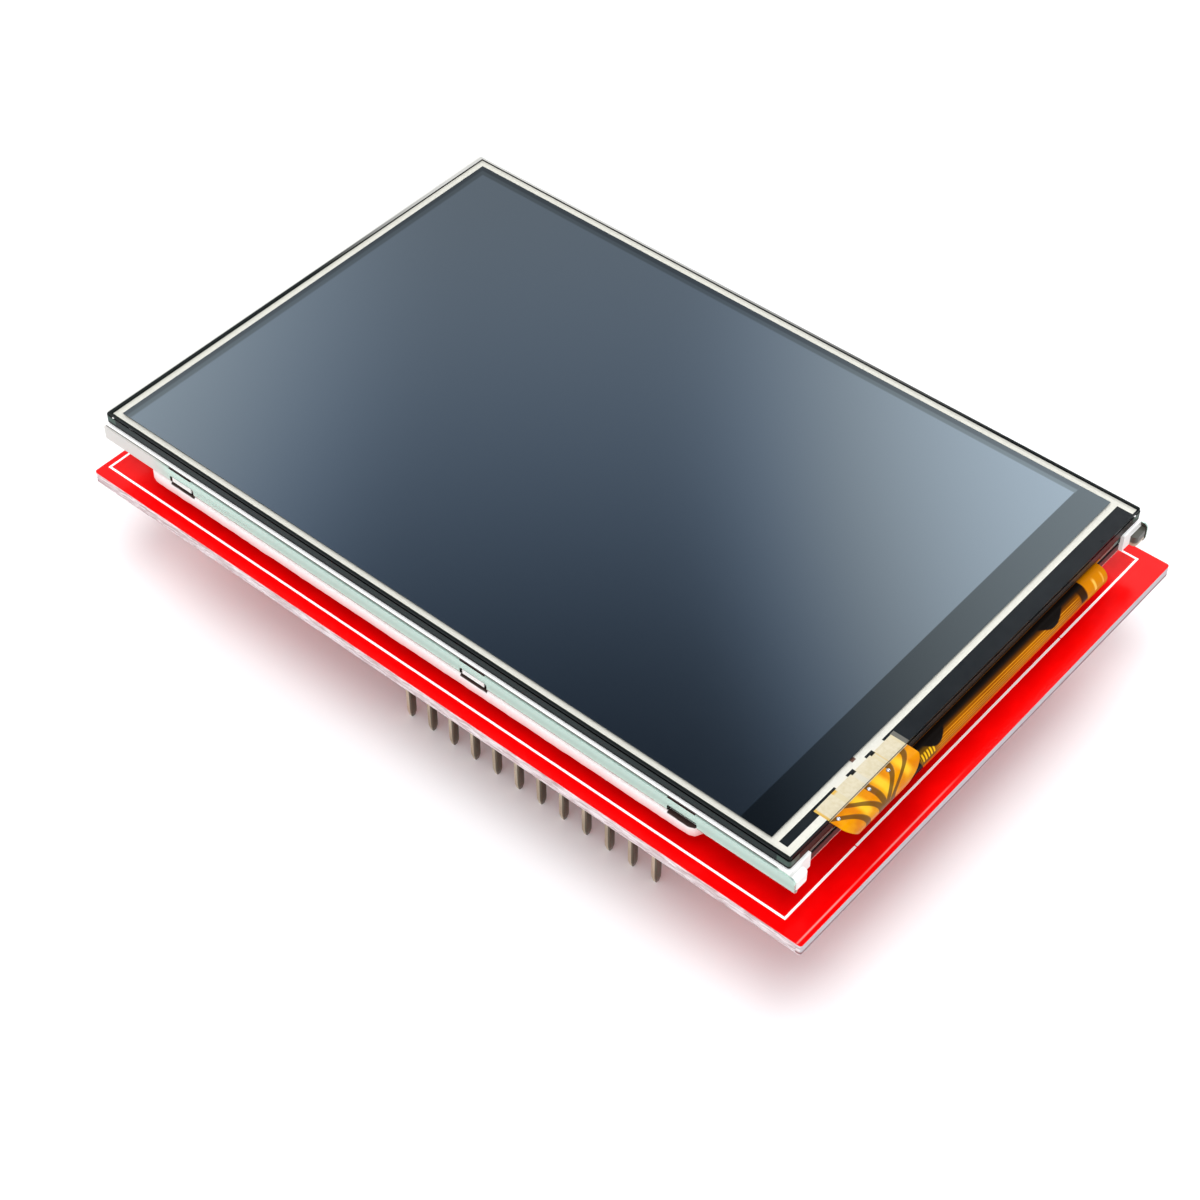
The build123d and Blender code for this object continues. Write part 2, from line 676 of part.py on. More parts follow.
for number, center in enumerate(shifter_centers, 1):
    nodes[f"level_shifter_{number}"] = moulded_body(center, shifter_length, shifter_width, shifter_height, shifter_standoff)
nodes["level_shifter_leads"] = shifter_leads()
nodes["regulator_body"] = moulded_body(regulator_center, regulator_length, regulator_width, regulator_height, 0.0)
nodes["regulator_leads"] = regulator_leads()
nodes["chip_resistors"], nodes["resistor_terminals"] = chip_parts(
    resistor_places, resistor_length, resistor_width, resistor_height, resistor_end)
nodes["chip_capacitors"], nodes["capacitor_terminals"] = chip_parts(
    capacitor_places, capacitor_length, capacitor_width, capacitor_height, capacitor_end)

os.makedirs("parts", exist_ok=True)
for name, shape in nodes.items():
    shape.label = name
    export_step(shape, f"parts/{name}.step")
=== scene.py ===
"""A touch display module on its plug-in board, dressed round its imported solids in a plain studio."""

import logging
import math
from dataclasses import dataclass
from enum import Enum
from typing import Any, Optional, Sequence, Union

import bmesh
import bpy
from mathutils import Matrix, Vector, noise


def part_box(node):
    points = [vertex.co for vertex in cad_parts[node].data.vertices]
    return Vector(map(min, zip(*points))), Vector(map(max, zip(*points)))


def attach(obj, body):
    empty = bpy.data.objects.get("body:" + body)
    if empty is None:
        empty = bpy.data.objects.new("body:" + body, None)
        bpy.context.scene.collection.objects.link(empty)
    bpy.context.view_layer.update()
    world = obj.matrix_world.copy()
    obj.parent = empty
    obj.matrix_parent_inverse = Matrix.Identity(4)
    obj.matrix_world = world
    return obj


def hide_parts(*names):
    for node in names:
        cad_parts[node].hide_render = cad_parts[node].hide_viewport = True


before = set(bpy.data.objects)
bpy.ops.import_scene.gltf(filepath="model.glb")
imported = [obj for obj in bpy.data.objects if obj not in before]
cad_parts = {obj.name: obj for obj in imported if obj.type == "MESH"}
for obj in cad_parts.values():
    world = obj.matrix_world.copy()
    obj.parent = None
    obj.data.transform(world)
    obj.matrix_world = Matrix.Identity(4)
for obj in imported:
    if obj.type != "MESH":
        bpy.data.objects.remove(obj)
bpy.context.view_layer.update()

MM = 0.001
LOG = logging.getLogger("display_module")
Colour = tuple[float, float, float]
Point = tuple[float, float, float]
# A Pair is mostly a low and a high edge. A Band has the softness of its edges as well.
Pair = tuple[float, float]
Band = tuple[float, float, float]
Number = Union["Val", float]


def box_of(node: str, base: float = 0.0) -> tuple[Vector, Vector]:
    """Corners of a CAD node in millimetres.

    Args:
        node: The node.
        base: Height that is counted as zero.

    Returns:
        Its lowest and its highest corner.
    """
    low, high = (corner / MM - Vector((0.0, 0.0, base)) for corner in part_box(node))
    return low, high


BOARD_LOW, BOARD_HIGH = box_of("circuit_board")
BOARD_TOP = BOARD_HIGH.z
TRAY_LOW, TRAY_HIGH = box_of("backlight_tray", BOARD_TOP)
FOAM_LOW, FOAM_HIGH = box_of("front_foam_strip", BOARD_TOP)
GLASS_LOW, GLASS_HIGH = box_of("touch_glass", BOARD_TOP)
TRACKS_LOW, TRACKS_HIGH = box_of("touch_tracks", BOARD_TOP)
PINS_LOW, PINS_HIGH = box_of("front_header_pins")
# The notches in both rails: their middles along X, and half their length.
NOTCHES = (-29.85, 5.15, 27.3)
HALF_NOTCH = 1.5
PIN_PITCH = 2.54
WHITE = (1.0, 1.0, 1.0)
BLACK = (0.0, 0.0, 0.0)
CRISP = 0.03
FAINT_GLOW = 0.22
SEED_STEP = Vector((17.3, -9.1, 4.7))


def srgb(red: float, green: float, blue: float) -> Colour:
    """Turn a screen colour into the linear one that shaders take.

    Args:
        red: Red from 0 to 255.
        green: Green from 0 to 255.
        blue: Blue from 0 to 255.

    Returns:
        The linear colour.
    """
    parts = (red / 255.0, green / 255.0, blue / 255.0)
    return tuple(p / 12.92 if p <= 0.04045 else ((p + 0.055) / 1.055) ** 2.4 for p in parts)


@dataclass(frozen=True)
class Ink:
    """A colour, and how fully it covers what it is laid on."""

    colour: Colour
    cover: float = 1.0


def ink(red: float, green: float, blue: float, cover: float = 1.0) -> Ink:
    """An ink of a screen colour."""
    return Ink(srgb(red, green, blue), cover)


# Painted shade for the dark hollows in and behind the rails' notches.
NOTCH_SHADE = ink(44, 20, 14)


class Val:
    """A number socket of a node tree that takes Python's operators."""

    def __init__(self, tree: "Tree", socket: bpy.types.NodeSocket) -> None:
        """Keep the tree and the socket."""
        self.tree = tree
        self.socket = socket

    def _maths(self, operation: str, *terms: Number) -> "Val":
        """Add one Math node.

        Args:
            operation: The Math node's operation.
            terms: Its values or links, in order.

        Returns:
            The node's result.
        """
        node = self.tree.add("ShaderNodeMath", {"operation": operation}, dict(enumerate(terms)))
        return Val(self.tree, node.outputs[0])

    def __add__(self, other: Number) -> "Val":
        """Sum."""
        return self._maths("ADD", self, other)

    __radd__ = __add__

    def __sub__(self, other: Number) -> "Val":
        """Difference."""
        return self._maths("SUBTRACT", self, other)

    def __rsub__(self, other: Number) -> "Val":
        """Difference, the other way round."""
        return self._maths("SUBTRACT", other, self)

    def __mul__(self, other: Number) -> "Val":
        """Product."""
        return self._maths("MULTIPLY", self, other)

    __rmul__ = __mul__

    def __truediv__(self, other: Number) -> "Val":
        """Quotient."""
        return self._maths("DIVIDE", self, other)

    def __abs__(self) -> "Val":
        """Size without sign."""
        return self._maths("ABSOLUTE", self)

    def power(self, other: Number) -> "Val":
        """Power."""
        return self._maths("POWER", self, other)

    def largest(self, other: Number) -> "Val":
        """The larger of two."""
        return self._maths("MAXIMUM", self, other)

    def cycle(self, pitch: float) -> "Val":
        """Saw-tooth from 0 to 1 that repeats every pitch."""
        return self._maths("FRACT", self / pitch)

    def rise(self, low: Number, high: Number) -> "Val":
        """Smooth step.

        Args:
            low: Where it leaves 0.
            high: Where it reaches 1.

        Returns:
            The step.
        """
        node = self.tree.add(
            "ShaderNodeMapRange", {"interpolation_type": "SMOOTHSTEP"}, {0: self, 1: low, 2: high}
        )
        return Val(self.tree, node.outputs[0])

    def fall(self, low: Number, high: Number) -> "Val":
        """Smooth step from 1 to 0."""
        return 1.0 - self.rise(low, high)

    def past(self, edge: float, soft: float = CRISP) -> "Val":
        """1 past an edge that is soft on both sides."""
        return self.rise(edge - soft, edge + soft)

    def before(self, edge: float, soft: float = CRISP) -> "Val":
        """1 before an edge that is soft on both sides."""
        return 1.0 - self.past(edge, soft)

    def within(self, low: float, high: float, soft: float = CRISP) -> "Val":
        """1 between two edges that are soft on both sides."""
        return self.past(low, soft) * self.before(high, soft)


class Tree:
    """A node tree that is written in Python."""

    def __init__(self, tree: bpy.types.NodeTree) -> None:
        """Keep the tree."""
        self.tree = tree

    def add(
        self,
        kind: str,
        settings: Optional[dict[str, Any]] = None,
        values: Optional[dict[Any, Any]] = None,
    ) -> bpy.types.Node:
        """Add any node.

        Args:
            kind: The node's type.
            settings: Properties, set first.
            values: Values or links of its sockets, by name or number.

        Returns:
            The node.
        """
        node = self.tree.nodes.new(kind)
        for name, value in (settings or {}).items():
            setattr(node, name, value)
        for key, value in (values or {}).items():
            self.feed(node.inputs[key], value)
        return node

    def result(self, kind: str, **values: Any) -> bpy.types.NodeSocket:
        """Add a node without settings.

        Args:
            kind: The node's type.
            values: Values or links of its sockets, with underscores for spaces.

        Returns:
            The node's first output.
        """
        return self.add(kind, None, {name.replace("_", " "): v for name, v in values.items()}).outputs[0]

    def feed(self, socket: bpy.types.NodeSocket, value: Any) -> None:
        """Set or link one input.

        Args:
            socket: The input.
            value: A Val, a socket, a list of sockets, a colour or a plain value.
        """
        if isinstance(value, Val):
            self.tree.links.new(value.socket, socket)
        elif isinstance(value, bpy.types.NodeSocket):
            self.tree.links.new(value, socket)
        elif isinstance(value, list):
            for one in value:
                self.tree.links.new(one, socket)
        elif socket.type == "RGBA" and len(value) == 3:
            socket.default_value = (*value, 1.0)
        else:
            socket.default_value = value

    def blend(self, factor: Number, first: Any, second: Any) -> bpy.types.NodeSocket:
        """Mix two colours.

        Args:
            factor: 0 gives the first, 1 the second.
            first: A colour or a colour socket.
            second: A colour or a colour socket.

        Returns:
            The mixed colour.
        """
        mix = self.add("ShaderNodeMix", {"data_type": "RGBA"}, {0: factor, 6: first, 7: second})
        return mix.outputs[2]

    def mix_shaders(self, factor: Val, first: Any, second: Any) -> bpy.types.NodeSocket:
        """Mix two shaders, as blend mixes colours."""
        return self.add("ShaderNodeMixShader", None, {0: factor, 1: first, 2: second}).outputs[0]

    def paint(self, base: Any, *coats: tuple[Val, Ink]) -> bpy.types.NodeSocket:
        """Lay inks on a colour, one over the other.

        Args:
            base: A colour or a colour socket.
            coats: For each coat its mask and its ink.

        Returns:
            The painted colour.
        """
        for mask, coat in coats:
            base = self.blend(mask * coat.cover, base, coat.colour)
        return base


class Surface(Tree):
    """A material under construction, with places in millimetres and heights over the board's top."""

    UPRIGHT = (0.4, 0.7)

    def __init__(self, name: str) -> None:
        """Start a material with one Principled shader.

        Args:
            name: Name of the material.
        """
        self.material = bpy.data.materials.new(name)
        self.material.use_nodes = True
        super().__init__(self.material.node_tree)
        self.shader = self.tree.nodes["Principled BSDF"]
        coords = self.add("ShaderNodeTexCoord")
        scaled = self.add("ShaderNodeVectorMath", {"operation": "SCALE"}, {0: coords.outputs["Object"]})
        scaled.inputs["Scale"].default_value = 1.0 / MM
        self.place = scaled.outputs[0]
        parts = self.add("ShaderNodeSeparateXYZ", None, {0: self.place})
        self.x, self.y, height = (Val(self, s) for s in parts.outputs)
        self.z = height - BOARD_TOP
        faces = self.add("ShaderNodeSeparateXYZ", None, {0: coords.outputs["Normal"]})
        self.nx, self.ny, self.nz = (Val(self, s) for s in faces.outputs)

    def side(self) -> Val:
        """1 on upright faces, such as cut edges."""
        return abs(self.nz).fall(*self.UPRIGHT)

    def grain(self, scale: float, octaves: float = 1.0, stretch: Point = (1.0, 1.0, 1.0)) -> Val:
        """Noise from about 0 to 1.

        Args:
            scale: Cycles for each millimetre.
            octaves: How many finer layers it has.
            stretch: Extra scale along each axis.

        Returns:
            The noise.
        """
        vector = self.add("ShaderNodeVectorMath", {"operation": "MULTIPLY"}, {0: self.place, 1: stretch})
        cloud = self.result("ShaderNodeTexNoise", Vector=vector.outputs[0], Scale=scale, Detail=octaves)
        return Val(self, cloud)

    def relief(self, height: Val, depth: float) -> None:
        """Raise the surface.

        Args:
            height: Height from 0 to 1.
            depth: Depth in millimetres.
        """
        self.set(Normal=self.result("ShaderNodeBump", Height=height, Distance=depth * MM, Strength=1.0))

    def set(self, **values: Any) -> None:
        """Set or link the shader's inputs, with underscores for spaces."""
        for name, value in values.items():
            self.feed(self.shader.inputs[name.replace("_", " ")], value)

    def show(self, shader: bpy.types.NodeSocket) -> None:
        """Send a shader to the material's output."""
        self.feed(self.tree.nodes["Material Output"].inputs["Surface"], shader)


@dataclass(frozen=True)
class Finish:
    """A finish of two near colours with a fine mottle."""

    name: str
    colour: Colour
    second: Colour
    roughness: float = 0.5
    swing: float = 0.12
    metallic: float = 0.0
    scale: float = 2.0
    stretch: Point = (1.0, 1.0, 1.0)
    depth: float = 0.0
    specular: float = 0.5
    octaves: float = 4.0
    turn: Pair = (0.3, 0.7)

    def build(self) -> bpy.types.Material:
        """Make the material.

        Returns:
            The material.
        """
        surface = Surface(self.name)
        tone = surface.grain(self.scale, self.octaves, self.stretch)
        surface.set(
            Base_Color=self.mottle(surface, tone),
            Roughness=self.sheen(tone),
            Metallic=self.metallic,
            Specular_IOR_Level=self.specular,
        )
        if self.depth:
            surface.relief(tone, self.depth)
        self.detail(surface, tone)
        return surface.material

    def mottle(self, surface: Surface, tone: Val) -> bpy.types.NodeSocket:
        """The two colours, mixed by the noise."""
        return surface.blend(tone.rise(*self.turn), self.colour, self.second)

    def sheen(self, tone: Val) -> Val:
        """The roughness, which swings with the noise."""
        return tone * self.swing + (self.roughness - self.swing / 2)

    def detail(self, surface: Surface, tone: Val) -> None:
        """Add what one finish has of its own.

        Args:
            surface: The material.
            tone: Its noise.
        """


@dataclass(frozen=True)
class BoardFinish(Finish):
    """Glossy red mask on both faces, painted darker on the underside as shade, and bare laminate round the
    edge, with a painted shadow line at its foot and a painted highlight near the right edge.
    """

    laminate: Colour = srgb(232, 219, 221)
    streak: Ink = ink(142, 110, 108)
    lavender: Ink = ink(192, 186, 192, 0.85)
    # painted shadow: a dark red line at the foot of the board's edge
    bottom_shade: Ink = ink(120, 44, 40, 0.8)
    # painted shade: the underside's mask is a darker red
    underside_shade: Ink = ink(206, 4, 8)
    copper: Ink = ink(255, 46, 40, 0.4)
    # painted highlight: a broken pale line just inside the right edge, on its near part
    rim: Ink = ink(255, 176, 170, 0.6)
    fibre_scale: float = 0.9
    fibre_octaves: float = 5.0
    fibre_stretch: Point = (0.6, 0.6, 9.0)
    fibre_turn: Pair = (0.45, 0.68)
    end_facing: Pair = (0.4, 0.8)
    down_facing: Pair = (-0.6, -0.4)
    line_height: Band = (0.08, 0.3, 0.06)
    wrap: Pair = (-0.12, -0.06)
    rim_inset: Band = (0.36, 0.5, 0.05)
    rim_fade: Pair = (-12.0, -2.0)
    rim_scale: float = 0.12
    rim_turn: Pair = (0.3, 0.55)
    edge_roughness: float = 0.45
    relief_depth: float = 0.05
    relief_shares: tuple[float, float, float] = (0.5, 1.5, 0.04)
    along_pitch: float = 1.27
    along_part: Band = (0.3, 0.62, 0.05)
    along_x: Band = (-2.0, 36.0, 0.1)
    across_pitch: float = 1.9
    across_part: Band = (0.35, 0.6, 0.05)
    across_x: Band = (-24.0, -2.4, 0.1)
    patch_scale: float = 0.09
    patch_turn: Pair = (0.45, 0.5)

    def detail(self, surface: Surface, tone: Val) -> None:
        """Lay copper relief under the mask and layers on the edge, and paint the underside's shade, the
        shadow line at the edge's foot and the highlight near the right edge.

        Args:
            surface: The material.
            tone: Its noise.
        """
        side = surface.side()
        fibre = surface.grain(self.fibre_scale, self.fibre_octaves, self.fibre_stretch)
        height = surface.z + (BOARD_TOP - BOARD_LOW.z)
        layer = surface.paint(
            self.laminate,
            (fibre.rise(*self.fibre_turn), self.streak),
            (surface.nx.rise(*self.end_facing), self.lavender),
            (height.within(*self.line_height), self.bottom_shade),
            (surface.z.rise(*self.wrap), Ink(self.colour)),
        )
        under = surface.nz.fall(*self.down_facing)
        tracks = self.tracks(surface) * under
        # The painted highlight just inside the right edge.
        rim = (BOARD_HIGH.x - surface.x).within(*self.rim_inset) * surface.y.fall(*self.rim_fade)
        rim = rim * surface.grain(self.rim_scale).rise(*self.rim_turn)
        mask = surface.paint(
            self.mottle(surface, tone), (under, self.underside_shade), (tracks, self.copper), (rim, self.rim)
        )
        surface.set(
            Base_Color=surface.blend(side, mask, layer),
            Roughness=side * self.edge_roughness + self.sheen(tone),
        )
        of_tracks, of_fibre, of_tone = self.relief_shares
        surface.relief(tracks * of_tracks + side * fibre * of_fibre + tone * of_tone, self.relief_depth)

    def tracks(self, surface: Surface) -> Val:
        """Copper runs under the mask.

        Args:
            surface: The material.

        Returns:
            1 on copper.
        """
        along = surface.y.cycle(self.along_pitch).within(*self.along_part) * surface.x.within(*self.along_x)
        across = surface.x.cycle(self.across_pitch).within(*self.across_part)
        across = across * surface.x.within(*self.across_x)
        return (along + across) * surface.grain(self.patch_scale).rise(*self.patch_turn)


@dataclass(frozen=True)
class PinFinish(Finish):
    """Tin plate, darker on the faces and halves that look away from the light."""

    shade: Ink = ink(74, 62, 50, 0.85)
    end_facing: Pair = (0.25, 0.75)
    front_facing: Pair = (-0.8, -0.6)
    front_half: Pair = (-1.0, 1.0)
    far_half: Pair = (0.51, 0.55)

    def detail(self, surface: Surface, tone: Val) -> None:
        """Shade the faces towards +X and that half of the front row's front faces.

        Args:
            surface: The material.
            tone: Its noise.
        """
        away = surface.nx.rise(*self.end_facing)
        middle = (PINS_LOW.x + PINS_HIGH.x) / 2
        half = (surface.x - middle).cycle(PIN_PITCH).rise(*self.far_half)
        half = half * surface.ny.fall(*self.front_facing) * surface.y.fall(*self.front_half)
        surface.set(Base_Color=surface.paint(self.mottle(surface, tone), (away.largest(half), self.shade)))


@dataclass(frozen=True)
class ClearFinish(Finish):
    """A clear layer: see-through faces, coloured cut edges."""

    body: float = 0.02

    def detail(self, surface: Surface, tone: Val) -> None:
        """Let the faces through and keep the cut edges.

        Args:
            surface: The material.
            tone: Its noise.
        """
        solid = self.cover(surface, tone, surface.side())
        clear = surface.result("ShaderNodeBsdfTransparent", Color=WHITE)
        surface.show(surface.mix_shaders(solid, clear, surface.shader.outputs[0]))

    def cover(self, surface: Surface, tone: Val, side: Val) -> Val:
        """Colour what can't be seen through.

        Args:
            surface: The material.
            tone: Its noise.
            side: 1 on the cut edges.

        Returns:
            1 where the layer is solid.
        """
        return side * (1.0 - self.body) + tone * self.body


@dataclass(frozen=True)
class FilmFinish(ClearFinish):
    """The touch film: clear over its border, a bluish mirror over the dark picture area."""

    screen: Colour = srgb(103, 114, 123)
    strip: Ink = ink(67, 74, 78)
    rims: tuple[tuple[float, float, Ink], ...] = (
        (-37.35, 22.72, ink(84, 93, 98)),
        (-37.85, 23.2, ink(68, 75, 80)),
    )
    # painted reflection: pale over the back margin and along the left edge
    pale_sheen: Ink = ink(214, 213, 208)
    window_x: Band = (-38.33, 35.1, 0.02)
    window_y: Band = (-24.0, 23.78, 0.02)
    strip_x: float = 32.05
    strip_soft: float = 0.05
    rim_soft: float = 0.1
    bevel_x: float = -39.46
    edge_soft: float = 0.02
    glare_x: Pair = (-30.0, 25.0)
    glare_y: Pair = (0.0, 22.0)
    glare: float = 0.75
    top: Pair = (6.47, 6.5)

    def cover(self, surface: Surface, tone: Val, side: Val) -> Val:
        """Cover the window with the dark mirror and its rims, and blacken the margin outside the tracks,
        with a painted pale reflection over the back margin towards the left end and along the left edge.

        Args:
            surface: The material.
            tone: Its noise.
            side: 1 on the cut edges.

        Returns:
            1 where the layer is solid.
        """
        x, y = surface.x, surface.y
        mirror = surface.paint(self.screen, (x.past(self.strip_x, self.strip_soft), self.strip))
        inside = x.fall(self.strip_x, self.strip_x + self.rim_soft)
        for left, far, rim in self.rims:
            beyond = x.before(left, self.rim_soft).largest(y.past(far, self.rim_soft))
            mirror = surface.paint(mirror, (beyond * inside, rim))
        top = surface.z.rise(*self.top) * (1.0 - side)
        window = x.within(*self.window_x) * y.within(*self.window_y) * top
        margin = abs(y).past(TRACKS_HIGH.y, self.edge_soft)
        margin = margin.largest(x.before(TRACKS_LOW.x, self.edge_soft)) * top
        # The painted pale reflection, strongest towards the back left, and along the left edge.
        pale = x.fall(*self.glare_x) * y.rise(*self.glare_y) * self.glare
        pale = pale.largest(x.before(self.bevel_x, self.edge_soft)) * top
        body = surface.paint(surface.blend(tone, self.colour, self.second), (pale, self.pale_sheen))
        surface.set(Base_Color=surface.blend(window, body, mirror), Metallic=window)
        return side.largest(window).largest(margin)


@dataclass(frozen=True)
class GlassFinish(ClearFinish):
    """Float glass: black cut edges with a slate band, green at the corners, and the amber flex's brown
    reflection painted on the end that faces it.
    """

    slate: Ink = ink(38, 47, 47)
    green: Ink = ink(96, 122, 110, 0.4)
    # painted reflection of the amber flex on the end facing it
    brown: Ink = ink(38, 25, 18, 0.8)
    band: Band = (5.62, 6.2, 0.1)
    cloud: float = 0.4
    least: float = 0.7
    end_facing: Pair = (0.5, 0.8)
    corner: float = 1.3
    corner_soft: float = 0.1

    def cover(self, surface: Surface, tone: Val, side: Val) -> Val:
        """Band the edges by height, mark the corners and paint the flex's reflection on the end facing it.

        Args:
            surface: The material.
            tone: Its noise.
            side: 1 on the cut edges.

        Returns:
            1 where the layer is solid.
        """
        band = surface.z.within(*self.band)
        inset = self.corner - self.corner_soft
        near_y = abs(surface.y).rise(GLASS_HIGH.y - self.corner, GLASS_HIGH.y - inset)
        near_x = surface.x.rise(GLASS_HIGH.x - self.corner, GLASS_HIGH.x - inset)
        far_x = surface.x.fall(GLASS_LOW.x + inset, GLASS_LOW.x + self.corner)
        colour = surface.paint(
            self.colour,
            (band * (tone * self.cloud + self.least), self.slate),
            (surface.nx.rise(*self.end_facing), self.brown),
            (near_y * near_x.largest(far_x) * band, self.green),
        )
        surface.set(Base_Color=colour)
        return side


@dataclass(frozen=True)
class RailFinish(Finish):
    """Bright folded steel, painted pale and made less metallic towards its far end as a painted reflection,
    with painted shade inside and in its notches and a painted highlight on its lower fold.
    """

    # painted reflection: pale towards the far end
    far_reflection: Ink = ink(208, 205, 200)
    middle: Ink = ink(164, 190, 179, 0.6)
    # painted shade on the faces that look inward
    inner: Ink = ink(96, 90, 82)
    # painted highlight on the rounded lower fold
    fold: Ink = ink(228, 222, 220, 0.8)
    dull_x: Pair = (-34.0, -31.0)
    middle_height: Band = (0.5, 1.1, 0.3)
    fold_height: Pair = (0.06, 0.14)
    inward: Pair = (-8.0, -4.0)
    outward: Pair = (0.5, 0.8)
    cut_shift: Pair = (-0.05, -0.25)
    shine: float = 0.7
    dull_roughness: float = 0.25

    def detail(self, surface: Surface, tone: Val) -> None:
        """Paint the pale reflection towards the far end, the shade inside and in the notches, and the
        highlight on the fold.

        Args:
            surface: The material.
            tone: Its noise.
        """
        far = surface.x.fall(*self.dull_x)
        height = surface.z - TRAY_LOW.z
        colour = surface.paint(
            self.mottle(surface, tone),
            (height.within(*self.middle_height), self.middle),
            (far, self.far_reflection),
            (height.fall(*self.fold_height), self.fold),
            ((surface.y * surface.ny).fall(*self.inward), self.inner),
        )
        flank = abs(surface.ny).fall(*self.outward)
        left, right = self.cut_shift
        # painted shade on the cut faces in each notch
        for x in NOTCHES:
            cut = surface.x.within(x - HALF_NOTCH + left, x + HALF_NOTCH + right)
            colour = surface.paint(colour, (cut * flank, NOTCH_SHADE))
        surface.set(
            Base_Color=colour,
            Metallic=(1.0 - far) * self.shine,
            Roughness=far * self.dull_roughness + self.sheen(tone),
        )


@dataclass(frozen=True)
class FrameFinish(Finish):
    """White moulding with a painted shadow line above the rail, painted shade in the notches' pockets and on
    the crossbar, and a whiter lip and posts with a faint glow as painted light.
    """

    # painted shade in the notches' pockets
    pocket_shade: Ink = Ink(NOTCH_SHADE.colour, 0.95)
    # painted shadow: the dark line in the gap above the rail
    seam: Ink = ink(112, 104, 102)
    smoke: Ink = ink(70, 70, 62)
    beige: Colour = srgb(178, 162, 140)
    # painted shade on the crossbar under the glass
    crossbar_shade: Ink = ink(50, 26, 25)
    # painted light: the lip's top and the posts are whiter and glow faintly
    lip: Ink = ink(254, 254, 252)
    pockets: tuple[Pair, ...] = ((-31.5, -28.65), (3.5, 6.35), (25.7, 28.9))
    pocket_z: Band = (3.2, 4.07, 0.02)
    pocket_y: Pair = (24.35, 25.15)
    seam_height: Pair = (-0.1, 0.16)
    seam_y: Pair = (24.95, 25.0)
    seam_end: Pair = (36.4, 36.8)
    lip_height: Pair = (0.14, 0.18)
    post_x: Pair = (37.3, 37.36)
    post_y: Pair = (22.27, 22.3)
    post_light: float = 0.25
    bar_x: Pair = (36.0, 36.1)
    bar_y: Pair = (22.24, 22.27)
    clip_x: float = 37.76
    clip_y: Pair = (20.0, 20.5)
    smoke_z: Pair = (3.6, 3.9)

    def detail(self, surface: Surface, tone: Val) -> None:
        """Paint shade in the notches' pockets and on the crossbar, paint the shadow line above the rail, and
        paint the lip and the posts white with a faint glow.

        Args:
            surface: The material.
            tone: Its noise.
        """
        x, z, depth = surface.x, surface.z, abs(surface.y)
        height = z - TRAY_HIGH.z
        # The painted shadow line above the rail.
        seam = height.within(*self.seam_height) * depth.rise(*self.seam_y) * x.fall(*self.seam_end)
        post = x.rise(*self.post_x) * depth.rise(*self.post_y)
        light = height.rise(*self.lip_height).largest(post * self.post_light)
        clip = x.past(self.clip_x) * surface.y.rise(*self.clip_y)
        smoked = surface.paint(self.beige, (z.rise(*self.smoke_z), self.smoke))
        base = surface.paint(
            self.mottle(surface, tone),
            (light, self.lip),
            (seam, self.seam),
            (x.rise(*self.bar_x) * depth.fall(*self.bar_y), self.crossbar_shade),
        )
        base = surface.blend(clip, base, smoked)
        deep = depth.within(*self.pocket_y) * z.within(*self.pocket_z)
        for left, right in self.pockets:
            base = surface.paint(base, (x.within(left, right) * deep, self.pocket_shade))
        bright = light * (1.0 - clip) * (1.0 - seam)
        surface.set(
            Base_Color=base,
            Emission_Color=surface.blend(bright, BLACK, WHITE),
            Emission_Strength=FAINT_GLOW,
        )


@dataclass(frozen=True)
class FoamFinish(Finish):
    """White foam, with the red board's bounced light painted pink on its lower part, and painted shade on
    its top under the rail's notches.
    """

    # painted light: pink bounced from the red board, towards the foam's foot
    pink: Ink = ink(226, 160, 154, 0.9)
    pink_below: float = 0.2
    white_below: float = 0.1
    shade_depth: Pair = (-0.3, -0.2)

    def detail(self, surface: Surface, tone: Val) -> None:
        """Paint the board's bounced pink light on the foam's lower part, and paint shade on its top in the
        notches.

        Args:
            surface: The material.
            tone: Its noise.
        """
        low = surface.z.fall(FOAM_LOW.z - self.pink_below, FOAM_HIGH.z - self.white_below)
        colour = surface.paint(self.mottle(surface, tone), (low, self.pink))
        # painted shade on the foam's top under each notch
        under = abs(surface.y).before(TRAY_HIGH.y) * (surface.z - FOAM_HIGH.z).rise(*self.shade_depth)
        for x in NOTCHES:
            mark = surface.x.within(x - HALF_NOTCH, x + HALF_NOTCH) * under
            colour = surface.paint(colour, (mark, NOTCH_SHADE))
        surface.set(Base_Color=colour)


